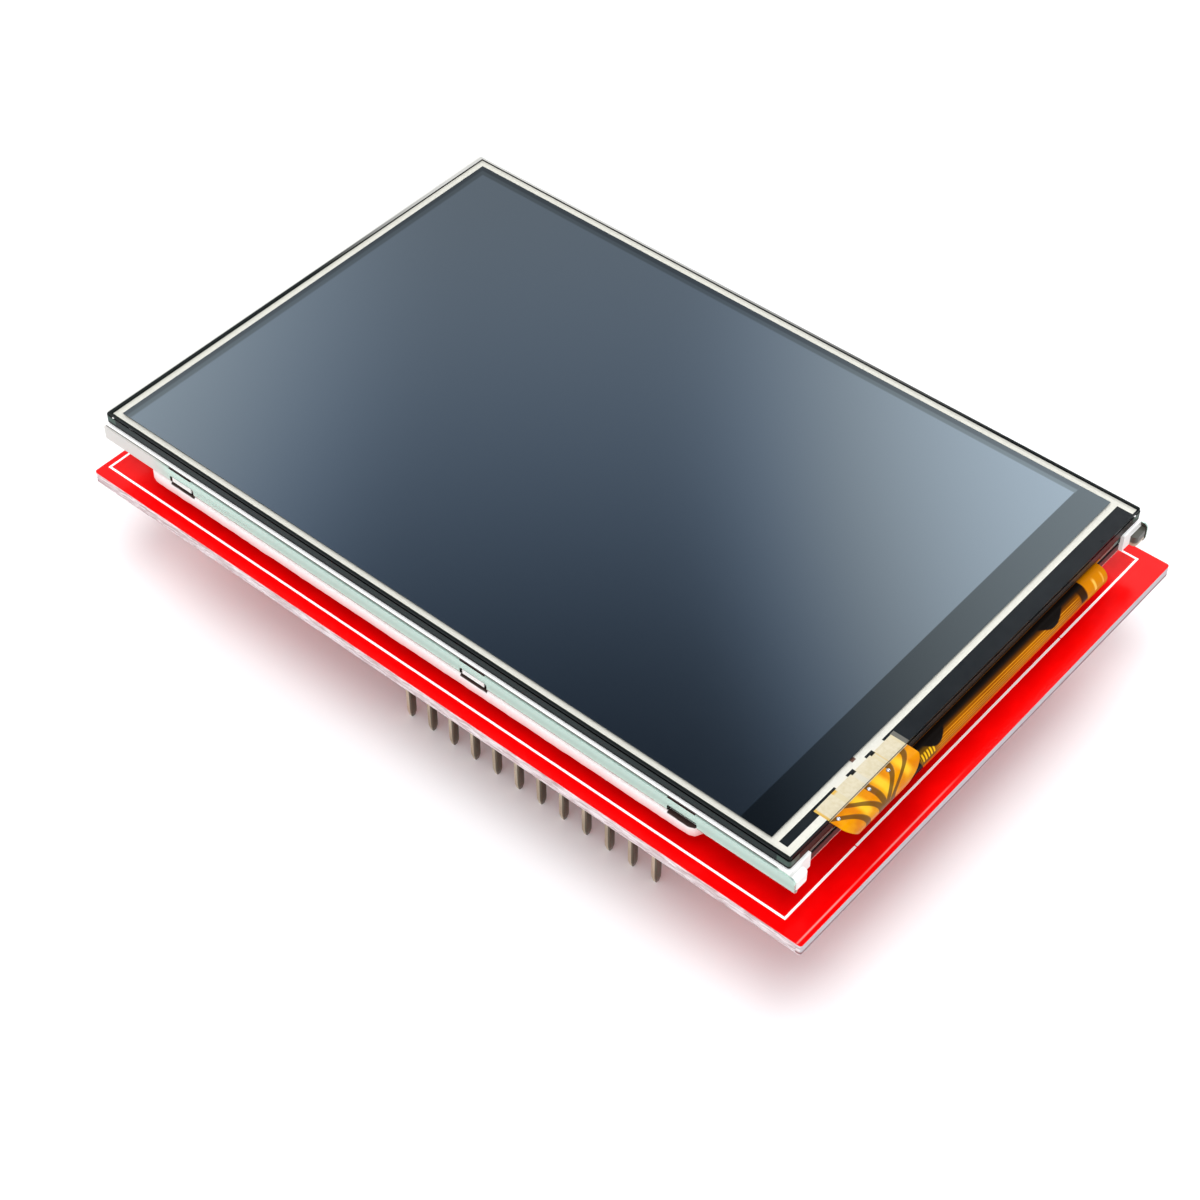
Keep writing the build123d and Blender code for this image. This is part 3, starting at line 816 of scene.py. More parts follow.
@dataclass(frozen=True)
class FlexFinish(Finish):
    """Amber flex with fine copper lines along the fold, gold pads and black ink, with painted shade at its
    top and on its open end, and a painted orange glow along its lower edge.
    """

    copper: Ink = ink(226, 148, 24, 0.85)
    gold: Ink = ink(244, 188, 24)
    olive: Ink = ink(98, 70, 14, 0.8)
    dark: Ink = ink(52, 28, 8)
    shade: Ink = Ink(dark.colour, 0.8)
    black: Ink = ink(20, 16, 14)
    # painted light: an orange glow along the lower edge
    rim: Ink = ink(226, 92, 0, 0.9)
    tab: Colour = srgb(208, 126, 4)
    glow: Ink = ink(250, 194, 84)
    faint_glow: Ink = Ink(glow.colour, 0.6)
    fold_x: float = 37.3
    fold_soft: float = 0.05
    shade_z: Pair = (4.42, 4.66)
    olive_y: Pair = (-7.5, -6.0)
    line_pitch: float = 0.16
    line_slope: float = 0.008
    line_part: Band = (0.3, 0.58, 0.12)
    line_z: Band = (3.86, 4.56, 0.06)
    line_y: Band = (-6.5, 14.0, 0.6)
    rim_z: Pair = (3.45, 3.78)
    tab_y: Pair = (15.3, 15.45)
    shine_z: Band = (3.75, 4.6, 0.1)
    shine_y: Band = (16.5, 16.75, 0.12)
    faint_y: Band = (17.7, 17.85, 0.1)
    dark_y: Band = (14.4, 15.35, 0.12)
    dark_z: Pair = (3.6, 3.9)
    pad_pitch: float = 0.36
    pad_part: Band = (0.2, 0.72, 0.1)
    pad_y: Band = (-8.75, -6.9, 0.05)
    pad_z: Band = (3.95, 4.5, 0.05)
    dips: tuple[tuple[Band, float], ...] = (((-7.2, -5.6, 0.7), 0.45), ((9.4, 11.4, 0.9), 0.5))
    black_z: Pair = (4.62, 4.72)
    # painted shade: the open end of the fold is painted black
    open_slope: float = 0.5
    open_y: Pair = (-6.95, -6.85)
    relief_shares: Pair = (0.6, 0.8)
    relief_depth: float = 0.03

    def detail(self, surface: Surface, tone: Val) -> None:
        """Draw the lines, pads, ink and the bright tab on the fold, with the painted shade and the painted
        glow of the lower edge.

        Args:
            surface: The material.
            tone: Its noise.
        """
        y, z = surface.y, surface.z
        lines = (z + y * self.line_slope).cycle(self.line_pitch).within(*self.line_part)
        lines = lines * z.within(*self.line_z) * y.within(*self.line_y)
        pads = y.cycle(self.pad_pitch).within(*self.pad_part) * y.within(*self.pad_y) * z.within(*self.pad_z)
        tab = y.rise(*self.tab_y)
        lit = z.within(*self.shine_z)
        shiny = surface.paint(
            self.tab,
            (lit * y.within(*self.shine_y), self.glow),
            (lit * y.within(*self.faint_y), self.faint_glow),
        )
        plain = self.mottle(surface, tone)
        body = surface.paint(
            plain,
            (z.rise(*self.shade_z), self.shade),
            (y.fall(*self.olive_y), self.olive),
            (lines, self.copper),
            (z.fall(*self.rim_z), self.rim),
        )
        level = z
        for band, drop in self.dips:
            level = level + y.within(*band) * drop
        body = surface.paint(
            surface.blend(tab, body, shiny),
            (y.within(*self.dark_y) * z.rise(*self.dark_z), self.dark),
            (pads, self.gold),
            (level.rise(*self.black_z) * (1.0 - tab), self.black),
            ((y + z * self.open_slope).fall(*self.open_y), self.black),
        )
        outer = surface.x.past(self.fold_x, self.fold_soft)
        surface.set(Base_Color=surface.blend(outer, plain, body))
        of_lines, of_pads = self.relief_shares
        surface.relief(lines * of_lines + pads * of_pads, self.relief_depth)


@dataclass(frozen=True)
class TailFinish(Finish):
    """Amber tail with brown conductors that gather on its curl, cream where it is bonded, with painted
    highlights and painted shade on the curl's lower part and inner face.
    """

    stripe: Ink = ink(84, 56, 18, 0.85)
    cream: Colour = srgb(203, 191, 158)
    pale: Ink = ink(201, 195, 178)
    yellow: Ink = ink(205, 165, 78)
    seam_yellow: Ink = Ink(yellow.colour, 0.35)
    seam_pale: Ink = Ink(pale.colour, 0.8)
    gap: Ink = ink(28, 28, 26)
    bright: Ink = ink(240, 190, 44, 0.9)
    # painted shade and painted reflected light on the curl's lower part
    rim: Ink = ink(206, 92, 0, 0.9)
    # painted shade on the inner face of the curl
    inside: Ink = ink(96, 66, 16)
    root_x: float = 37.5
    end_x: float = 39.35
    root_soft: float = 0.08
    curl_z: Pair = (5.2, 5.4)
    runs: tuple[tuple[float, float, float], ...] = (
        (-19.6, -17.3, 1.0),
        (-17.9, -15.6, 1.0),
        (-15.2, -15.1, 1.0),
        (-12.4, -14.6, 2.0),
        (-10.5, -13.9, 2.0),
    )
    run_half: Pair = (0.25, 0.38)
    shines: tuple[Band, ...] = ((-17.3, -16.4, 0.3), (-14.6, -13.7, 0.3), (-12.0, -11.2, 0.3))
    shine_z: Pair = (5.7, 6.2)
    rim_z: Pair = (4.7, 5.9)
    inside_z: Pair = (4.15, 4.35)
    seams: tuple[float, float, float] = (-16.95, -14.5, -12.1)
    seam_yellow_at: Band = (0.0, 0.5, 0.1)
    seam_pale_at: Pair = (-0.12, -0.04)
    first_fade: float = 0.1
    yellow_x: Pair = (36.05, 36.3)
    yellow_y: Pair = (-19.75, -19.45)
    gaps: tuple[Pair, ...] = ((-15.4, -14.5), (-12.95, -12.0))
    gap_x: float = 36.12
    coat: float = 0.12
    relief_depth: float = 0.03

    def detail(self, surface: Surface, tone: Val) -> None:
        """Draw the conductors, the painted highlights, the painted shade and reflected light of the curl's
        lower part and inner face, and the bonded root.

        Args:
            surface: The material.
            tone: Its noise.
        """
        x, y, z = surface.x, surface.y, surface.z
        body = self.mottle(surface, tone)
        for band in self.shines:
            body = surface.paint(body, (y.within(*band) * z.rise(*self.shine_z), self.bright))
        part = (x - self.root_x) / (self.end_x - self.root_x)
        part = part.largest(z.fall(*self.curl_z)).largest(0.0)
        stripes = None
        for root, end, power in self.runs:
            path = part.power(power) * (end - root) + root
            one = abs(y - path).fall(*self.run_half)
            stripes = one if stripes is None else stripes.largest(one)
        outer = x.rise(self.root_x, self.root_x + self.root_soft)
        stripes = stripes * outer
        body = surface.paint(
            body,
            (z.fall(*self.rim_z), self.rim),
            (stripes, self.stripe),
            (z.fall(*self.inside_z), self.inside),
        )
        surface.set(
            Base_Color=surface.blend(outer, self.bonded(surface), body),
            Coat_Weight=outer * self.coat,
        )
        surface.relief(stripes, self.relief_depth)

    def bonded(self, surface: Surface) -> bpy.types.NodeSocket:
        """The patches on the bonded root.

        Args:
            surface: The material.

        Returns:
            Their colour.
        """
        x, y = surface.x, surface.y
        first, second, _ = self.seams
        edge = x.fall(*self.yellow_x).largest(y.fall(*self.yellow_y))
        colour = surface.paint(
            self.cream,
            (y.within(first, second), self.pale),
            (y.fall(first - self.first_fade, first) * edge, self.yellow),
        )
        for seam in self.seams:
            beside = y - seam
            colour = surface.paint(
                colour,
                (beside.within(*self.seam_yellow_at), self.seam_yellow),
                (beside.within(*self.seam_pale_at), self.seam_pale),
            )
        for low, high in self.gaps:
            colour = surface.paint(colour, (y.within(low, high) * x.before(self.gap_x), self.gap))
        return colour


@dataclass(frozen=True)
class TrackFinish(Finish):
    """Printed silver with one brown spot beside the tail."""

    spot: Ink = ink(92, 58, 44)
    spot_x: Pair = (34.9, 35.35)
    spot_y: Pair = (-14.0, -13.5)

    def detail(self, surface: Surface, tone: Val) -> None:
        """Mark the spot."""
        spot = surface.x.within(*self.spot_x) * surface.y.within(*self.spot_y)
        surface.set(Base_Color=surface.paint(self.mottle(surface, tone), (spot, self.spot)))


@dataclass(frozen=True)
class BorderFinish(Finish):
    """Black adhesive border, bridged with silver beside the tail's root and greyed at its end."""

    silver: Ink = ink(212, 209, 198)
    grey: Ink = ink(122, 120, 112, 0.7)
    bridges: tuple[Pair, ...] = ((-16.9, -15.4), (-14.5, -12.95), (-12.0, -10.6))
    bridge_x: Pair = (35.6, 36.0)
    grey_x: Pair = (35.85, 35.9)
    grey_y: Pair = (-9.75, -9.25)

    def detail(self, surface: Surface, tone: Val) -> None:
        """Draw the bridges and the grey end.

        Args:
            surface: The material.
            tone: Its noise.
        """
        colour = self.mottle(surface, tone)
        for low, high in self.bridges:
            bridge = surface.y.within(low, high) * surface.x.within(*self.bridge_x)
            colour = surface.paint(colour, (bridge, self.silver))
        end = surface.y.within(*self.grey_y) * surface.x.rise(*self.grey_x)
        surface.set(Base_Color=surface.paint(colour, (end, self.grey)))


@dataclass(frozen=True)
class PrintFinish(Finish):
    """White print, kept bright by a faint glow."""

    def detail(self, surface: Surface, tone: Val) -> None:
        """Let the print glow."""
        surface.set(Emission_Color=WHITE, Emission_Strength=FAINT_GLOW)


class Finishes:
    """Every finish of the module, made once."""

    def __init__(self) -> None:
        """List the finishes by their slot in the record."""
        white = srgb(250, 250, 248)
        along, across = (0.2, 3.0, 1.0), (1.0, 0.3, 1.0)
        rolled, drawn, torn = (0.3, 1.0, 1.0), (1.0, 1.0, 0.25), (0.5, 1.0, 5.0)
        listed = [
            BoardFinish(
                "board_red", srgb(252, 2, 4), srgb(240, 0, 2),
                roughness=0.2, swing=0.08, scale=0.35, specular=0.11,
            ),
            Finish(
                "header_plastic", srgb(26, 26, 28), srgb(36, 36, 38),
                roughness=0.45, scale=6.0, depth=0.004,
            ),
            PinFinish(
                "pin_plating", srgb(226, 214, 190), srgb(196, 182, 158),
                roughness=0.24, swing=0.1, metallic=1.0, scale=1.2, stretch=drawn,
            ),
            Finish(
                "solder", srgb(206, 208, 210), srgb(168, 170, 174),
                roughness=0.26, swing=0.16, metallic=1.0, scale=3.0, depth=0.01,
            ),
            FoamFinish(
                "foam_white", srgb(246, 236, 235), srgb(240, 228, 227),
                roughness=0.9, swing=0.06, scale=5.0, depth=0.03,
            ),
            RailFinish(
                "tray_steel", srgb(190, 217, 206), srgb(186, 213, 202),
                roughness=0.26, swing=0.04, scale=0.25, stretch=rolled,
            ),
            FrameFinish("frame_white", srgb(234, 234, 231), srgb(226, 226, 223), roughness=0.42, scale=1.5),
            Finish("film_white", white, srgb(244, 244, 246)),
            ClearFinish("film_clear", srgb(226, 230, 232), srgb(240, 242, 244), roughness=0.3, body=0.3),
            ClearFinish(
                "guide_acrylic", srgb(220, 232, 230), srgb(236, 244, 242),
                roughness=0.15, body=0.2,
            ),
            Finish("led_white", srgb(250, 244, 200), white, roughness=0.4, scale=2.5),
            FlexFinish(
                "flex_amber", srgb(172, 98, 0), srgb(146, 76, 0),
                roughness=0.25, swing=0.1, scale=0.6, stretch=across, specular=0.03,
            ),
            TailFinish(
                "tail_amber", srgb(222, 148, 2), srgb(208, 120, 0),
                roughness=0.21, swing=0.1, scale=0.8, specular=0.08,
            ),
            Finish("pad_cream", srgb(204, 194, 168), srgb(196, 184, 152), roughness=0.4, scale=3.0),
            Finish("tape_black", srgb(34, 40, 46), srgb(28, 33, 38), roughness=0.25, scale=1.0),
            Finish("polariser", srgb(30, 36, 44), srgb(24, 30, 38), roughness=0.12, swing=0.02, scale=0.4),
            ClearFinish("cell_glass", srgb(70, 96, 90), srgb(86, 112, 104), roughness=0.12, body=0.04),
            GlassFinish(
                "touch_glass", srgb(10, 13, 13), srgb(10, 13, 13),
                roughness=0.25, scale=0.7, specular=0.06,
            ),
            FilmFinish(
                "touch_film", srgb(22, 26, 26), srgb(30, 35, 35),
                roughness=0.105, swing=0.01, scale=0.4, specular=0.04,
            ),
            TrackFinish(
                "silver_print", srgb(214, 212, 201), srgb(207, 205, 194),
                roughness=0.42, swing=0.1, scale=4.0,
            ),
            Finish("chip_silicon", srgb(44, 46, 52), srgb(58, 60, 68), roughness=0.15),
            Finish(
                "package_black", srgb(30, 30, 32), srgb(40, 40, 42),
                roughness=0.55, scale=7.0, depth=0.006,
            ),
            Finish(
                "lead_tin", srgb(214, 216, 218), srgb(186, 188, 192),
                roughness=0.3, swing=0.14, metallic=1.0, scale=4.0,
            ),
            Finish(
                "socket_steel", srgb(212, 212, 208), srgb(190, 190, 188),
                roughness=0.26, swing=0.1, metallic=1.0, scale=1.0, stretch=along,
            ),
            Finish(
                "contact_gold", srgb(240, 200, 110), srgb(224, 178, 80),
                roughness=0.24, swing=0.1, metallic=1.0, scale=3.0,
            ),
            Finish("resistor_black", srgb(28, 28, 30), srgb(38, 38, 42), roughness=0.35, scale=5.0),
            Finish("capacitor_tan", srgb(176, 140, 100), srgb(160, 124, 86), roughness=0.4, scale=5.0),
            PrintFinish("print_white", srgb(255, 255, 255), srgb(250, 248, 247), scale=3.0),
            Finish(
                "edge_fibre", srgb(236, 224, 226), srgb(182, 156, 156),
                roughness=0.8, scale=1.4, stretch=torn, depth=0.05,
            ),
            BorderFinish(
                "border_ink", srgb(19, 24, 28), srgb(23, 28, 32),
                roughness=0.3, scale=0.5, specular=0.1,
            ),
        ]
        self.by_slot = {finish.name: finish.build() for finish in listed}

    def __getitem__(self, slot: str) -> bpy.types.Material:
        """The material of one slot."""
        return self.by_slot[slot]


class Recipe(Tree):
    """A Geometry Nodes tree with named inputs, run once into a plain mesh."""

    KINDS = {int: "NodeSocketInt", float: "NodeSocketFloat", tuple: "NodeSocketVector"}

    def __init__(self, name: str, finish: bpy.types.Material, inputs: dict[str, Any]) -> None:
        """Make the tree and its inputs.

        Args:
            name: Name of the tree and of the piece.
            finish: Material of the piece.
            inputs: Value of each named input.
        """
        super().__init__(bpy.data.node_groups.new(name, "GeometryNodeTree"))
        self.name = name
        self.inputs = {**inputs, "Finish": finish}
        self.keys: dict[str, str] = {}
        face = self.tree.interface
        face.new_socket("Geometry", in_out="OUTPUT", socket_type="NodeSocketGeometry")
        for label, value in self.inputs.items():
            kind = self.KINDS.get(type(value), "NodeSocketMaterial")
            self.keys[label] = face.new_socket(label, in_out="INPUT", socket_type=kind).identifier
        self.entry = self.add("NodeGroupInput")

    def take(self, label: str) -> bpy.types.NodeSocket:
        """The socket of one input."""
        return self.entry.outputs[label]

    def number(self, label: str) -> Val:
        """One input as a number."""
        return Val(self, self.take(label))

    def run(self, geometry: bpy.types.NodeSocket) -> bpy.types.Object:
        """Finish the tree and turn its result into a plain object.

        Args:
            geometry: What the tree has made.

        Returns:
            The piece.
        """
        solid = self.result("GeometryNodeRealizeInstances", Geometry=geometry)
        painted = self.result("GeometryNodeSetMaterial", Geometry=solid, Material=self.take("Finish"))
        self.add("NodeGroupOutput", None, {"Geometry": painted})
        host = bpy.data.objects.new(self.name + "_host", bpy.data.meshes.new(self.name + "_host"))
        bpy.context.scene.collection.objects.link(host)
        modifier = host.modifiers.new("recipe", "NODES")
        modifier.node_group = self.tree
        for label, value in self.inputs.items():
            modifier[self.keys[label]] = value
        graph = bpy.context.evaluated_depsgraph_get()
        mesh = bpy.data.meshes.new_from_object(host.evaluated_get(graph))
        host.modifiers.remove(modifier)
        bpy.data.objects.remove(host)
        return add_object(self.name, mesh)


def add_object(name: str, mesh: bpy.types.Mesh) -> bpy.types.Object:
    """Put a mesh in the scene.

    Args:
        name: Name of the piece.
        mesh: Its mesh.

    Returns:
        The object.
    """
    mesh.name = name
    piece = bpy.data.objects.new(name, mesh)
    bpy.context.scene.collection.objects.link(piece)
    return piece


def seat(piece: bpy.types.Object, slot: str, *nodes: str) -> None:
    """Hand a piece to the frame.

    Args:
        piece: The piece.
        slot: Not used.
        nodes: CAD nodes that it stands for.
    """
    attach(piece, "root")
    if nodes:
        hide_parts(*nodes)
    LOG.info("%s: %d faces", piece.name, len(piece.data.polygons))


def loft(
    name: str, runs: Sequence[Sequence[Sequence[Point]]], finish: bpy.types.Material, smooth: bool = True
) -> bpy.types.Object:
    """Skin closed rings of points into capped solids.

    Args:
        name: Name of the piece.
        runs: For each solid its rings, each a list of points in millimetres.
        finish: Material of the piece.
        smooth: Whether faces are shaded smooth.

    Returns:
        The piece.
    """
    work = bmesh.new()
    for rings in runs:
        rows = [[work.verts.new(Vector(p) * MM) for p in ring] for ring in rings]
        count = len(rows[0])
        for first, second in zip(rows, rows[1:]):
            for i in range(count):
                j = (i + 1) % count
                work.faces.new((first[i], first[j], second[j], second[i]))
        work.faces.new(rows[0][::-1])
        work.faces.new(rows[-1])
    bmesh.ops.recalc_face_normals(work, faces=work.faces[:])
    mesh = bpy.data.meshes.new(name)
    work.to_mesh(mesh)
    work.free()
    mesh.materials.append(finish)
    for face in mesh.polygons:
        face.use_smooth = smooth
    return add_object(name, mesh)


def rounded_box(half_y: float, half_z: float, radius: float, steps: int = 4) -> list[Pair]:
    """Outline of a rounded rectangle.

    Args:
        half_y: Half its width.
        half_z: Half its height.
        radius: Corner radius.
        steps: Points in each corner, less one.

    Returns:
        Points (y, z) in order.
    """
    points = []
    for corner, (sy, sz) in enumerate(((1, 1), (-1, 1), (-1, -1), (1, -1))):
        for k in range(steps + 1):
            angle = math.pi / 2 * (corner + k / steps)
            y = sy * (half_y - radius) + radius * math.cos(angle)
            z = sz * (half_z - radius) + radius * math.sin(angle)
            points.append((y, z))
    return points


def wobble(x: float, y: float, z: float, seed: float) -> float:
    """Smooth fixed noise from -1 to 1 at a place in noise space."""
    return noise.noise(Vector((x, y, z)) + SEED_STEP * seed)


@dataclass(frozen=True)
class Wave:
    """One layer of a fixed raggedness: its size, its scales along and across, its level and seed."""

    size: float
    along: float
    across: float
    level: float
    seed: float

    def at(self, x: float, y: float) -> float:
        """Its height at a place."""
        return self.size * wobble(x * self.along, y * self.across, self.level, self.seed)


class Profile(Enum):
    """Cross-section of an upright part."""

    SQUARE = "square"
    ROUND = "round"


@dataclass
class Uprights:
    """A row of equal upright parts: pins, or the solder round them."""

    name: str
    profile: Profile
    width: float
    end_width: float
    low: float
    high: float
    first: Pair
    count: int
    corner: float = 0.0
    taper: float = 0.0
    second_first: Pair = (0.0, 0.0)
    second_count: int = 0
    rings: int = 10
    crowding: float = 2.6
    hollow: float = 2.2
    taper_part: Pair = (-0.35, 1.0)
    corner_points: int = 2
    round_sides: int = 20

    def build(self, finish: bpy.types.Material) -> bpy.types.Object:
        """Make the row with Geometry Nodes.

        Args:
            finish: Material of the parts.

        Returns:
            The piece.
        """
        recipe = Recipe(
            self.name,
            finish,
            {
                "Width": self.width * MM,
                "Corner": self.corner * MM,
                "Height": (self.high - self.low) * MM,
                "End Scale": self.end_width / self.width,
                "Taper": self.taper * MM,
                "Pitch": (-PIN_PITCH * MM, 0.0, 0.0),
                "First": (self.first[0] * MM, self.first[1] * MM, self.low * MM),
                "Count": self.count,
                "Second First": (self.second_first[0] * MM, self.second_first[1] * MM, self.low * MM),
                "Second Count": self.second_count,
            },
        )
        top = recipe.result("ShaderNodeCombineXYZ", Z=recipe.take("Height"))
        line = recipe.result("GeometryNodeCurvePrimitiveLine", End=top)
        fine = recipe.result("GeometryNodeResampleCurve", Curve=line, Count=self.rings)
        part = Val(recipe, recipe.add("GeometryNodeSplineParameter").outputs["Factor"])
        spot = recipe.result("ShaderNodeCombineXYZ", Z=part.power(self.crowding) * recipe.number("Height"))
        spread = recipe.result("GeometryNodeSetPosition", Geometry=fine, Position=spot)
        place = recipe.result("GeometryNodeInputPosition")
        level = Val(recipe, recipe.add("ShaderNodeSeparateXYZ", None, {0: place}).outputs["Z"])
        outline, full = self.section(recipe, level)
        ends = recipe.number("End Scale")
        scale = ends + (1.0 - ends) * full
        skin = recipe.result(
            "GeometryNodeCurveToMesh", Curve=spread, Profile_Curve=outline, Scale=scale, Fill_Caps=True
        )
        is_round = self.profile is Profile.ROUND
        shaded = recipe.result("GeometryNodeSetShadeSmooth", Geometry=skin, Shade_Smooth=is_round)
        rows = []
        for start, number in (("First", "Count"), ("Second First", "Second Count")):
            points = recipe.result(
                "GeometryNodeMeshLine",
                Count=recipe.take(number),
                Start_Location=recipe.take(start),
                Offset=recipe.take("Pitch"),
            )
            rows.append(recipe.result("GeometryNodeInstanceOnPoints", Points=points, Instance=shaded))
        return recipe.run(recipe.result("GeometryNodeJoinGeometry", Geometry=rows))

    def section(self, recipe: Recipe, level: Val) -> tuple[bpy.types.NodeSocket, Val]:
        """Outline of a part, and how it narrows.

        Args:
            recipe: The row's tree.
            level: Height along the part.

        Returns:
            The outline, and the share of its full width at each height.
        """
        if self.profile is Profile.ROUND:
            radius = recipe.number("Width") / 2.0
            circle = recipe.result(
                "GeometryNodeCurvePrimitiveCircle", Resolution=self.round_sides, Radius=radius
            )
            left = (1.0 - level / recipe.number("Height")).largest(0.0)
            return circle, left.power(self.hollow)
        width = recipe.take("Width")
        square = recipe.result("GeometryNodeCurvePrimitiveQuadrilateral", Width=width, Height=width)
        fillet = recipe.add(
            "GeometryNodeFilletCurve",
            {"mode": "POLY"},
            {"Curve": square, "Count": self.corner_points, "Radius": recipe.take("Corner")},
        )
        return fillet.outputs[0], (level / recipe.number("Taper")).rise(*self.taper_part)


@dataclass
class Headers:
    """Both rows of header pins and the solder on their upper ends."""

    front_y: float = -23.37
    back_y: float = 24.89
    first_x: float = 23.475
    front_count: int = 12
    back_short: int = 6
    back_long: int = 8
    back_long_x: float = 6.715
    pin_side: float = 0.64
    pin_corner: float = 0.07
    pin_rings: int = 14
    tip_side: float = 0.34
    tip_length: float = 0.75
    joint_width: float = 1.24
    neck_width: float = 0.76
    joint_height: float = 0.95

    def build(self, finishes: Finishes) -> None:
        """Make the pins and the solder.

        Args:
            finishes: The module's finishes.
        """
        front = {"first": (self.first_x, self.front_y), "count": self.front_count}
        back = {
            "first": (self.first_x, self.back_y),
            "count": self.back_short,
            "second_first": (self.back_long_x, self.back_y),
            "second_count": self.back_long,
        }
        for side, row in (("front", front), ("back", back)):
            pins = Uprights(
                f"{side}_pins",
                Profile.SQUARE,
                width=self.pin_side,
                end_width=self.tip_side,
                low=0.0,
                high=PINS_HIGH.z,
                corner=self.pin_corner,
                taper=self.tip_length,
                rings=self.pin_rings,
                **row,
            )
            seat(pins.build(finishes["pin_plating"]), "pin_plating", f"{side}_header_pins")
            joints = Uprights(
                f"{side}_solder",
                Profile.ROUND,
                width=self.joint_width,
                end_width=self.neck_width,
                low=BOARD_TOP,
                high=BOARD_TOP + self.joint_height,
                **row,
            )
            seat(joints.build(finishes["solder"]), "solder", f"{side}_solder_joints")


@dataclass
class Board:
    """The circuit board with its printed outline and its snapped front edge."""

    outline_x: Pair = (-39.81, 37.9)
    outline_y: Pair = (-25.44, 25.49)
    line_width: float = 0.21
    line_step: float = 0.5
    line_ragged: float = 0.12
    line_seed: float = 3.0
    print_height: float = 0.02
    breaks: Pair = (0.338, 0.452)
    break_length: float = 0.12
    break_clear: float = 1.0
    edge_step: float = 0.3
    edge_inset: float = 0.5
    edge_margin: float = 0.13
    edge_sink: float = 0.02
    edge_rows: int = 5
    edge_throw: float = 0.17
    edge_mean: float = 0.55
    edge_least: float = 0.06
    edge_lip: float = 0.5
    edge_waves: tuple[Wave, ...] = (
        Wave(size=0.6, along=1.1, across=0.9, level=0.0, seed=1.0),
        Wave(size=0.35, along=3.2, across=1.7, level=2.0, seed=2.0),
    )
    edge_drift: Wave = Wave(size=0.04, along=1.7, across=1.0, level=5.0, seed=4.0)

    def build(self, finishes: Finishes) -> None:
        """Make the print and the torn edge.

        Args:
            finishes: The module's finishes.
        """
        seat(loft("printed_outline", self.print_runs(), finishes["print_white"], False), "frame_white")
        seat(loft("snapped_edge", [self.edge_rings()], finishes["edge_fibre"], False), "board_red")

    def print_runs(self) -> list[list[list[Point]]]:
        """The white line round the display, with small breaks.

        Returns:
            The rings of each unbroken run.
        """
        (x0, x1), (y0, y1) = self.outline_x, self.outline_y
        corners = [Vector((x0, y0)), Vector((x1, y0)), Vector((x1, y1)), Vector((x0, y1))]
        sides = list(zip(corners, corners[1:] + corners[:1]))
        total = sum((b - a).length for a, b in sides)
        runs = []
        done = 0.0
        for a, b in sides:
            length = (b - a).length
            along = (b - a) / length
            marks = [-self.line_width / 2]
            for cut in self.breaks:
                spot = cut * total - done
                if self.break_clear < spot < length - self.break_clear:
                    marks += [spot - self.break_length / 2, spot + self.break_length / 2]
            marks.append(length + self.line_width / 2)
            for start, end in zip(marks[::2], marks[1::2]):
                runs.append(self.line_run(a, along, start, end))
            done += length
        return runs

    def line_run(self, a: Vector, along: Vector, start: float, end: float) -> list[list[Point]]:
        """One unbroken length of the printed line.

        Args:
            a: Where the side starts.
            along: Its direction.
            start: Distance to the run's start.
            end: Distance to the run's end.

        Returns:
            The run's rings.
        """
        across = Vector((-along.y, along.x))
        rings = []
        count = max(2, int((end - start) / self.line_step))
        for k in range(count + 1):
            centre = a + along * (start + (end - start) * k / count)
            ring = []
            for side, level in ((-1, 0.0), (1, 0.0), (1, 1.0), (-1, 1.0)):
                ragged = self.line_ragged * wobble(centre.x, centre.y, side, self.line_seed)
                spot = centre + across * side * (self.line_width / 2 * (1.0 + ragged))
                ring.append((spot.x, spot.y, BOARD_TOP + level * self.print_height))
            rings.append(ring)
        return rings

    def edge_rings(self) -> list[list[Point]]:
        """The rough fibres where the front edge was snapped from its panel.

        Returns:
            Their rings.
        """
        x0, x1 = BOARD_LOW.x + self.edge_inset, BOARD_HIGH.x - self.edge_inset
        z0, z1 = BOARD_LOW.z + self.edge_margin, BOARD_TOP - self.edge_margin
        inner = BOARD_LOW.y + self.edge_sink
        count = int((x1 - x0) / self.edge_step)
        rings = []
        for k in range(count + 1):
            x = x0 + (x1 - x0) * k / count
            ring = [(x, inner, z1), (x, inner, z0)]
            for n in range(self.edge_rows + 1):
                z = z0 + (z1 - z0) * n / self.edge_rows
                rough = self.edge_mean + sum(wave.at(x, n) for wave in self.edge_waves)
                throw = self.edge_throw * max(self.edge_least, min(1.0, rough))
                if n in (0, self.edge_rows):
                    throw *= self.edge_lip
                ring.append((x, BOARD_LOW.y - throw, z + self.edge_drift.at(x, n)))
            rings.append(ring)
        return rings


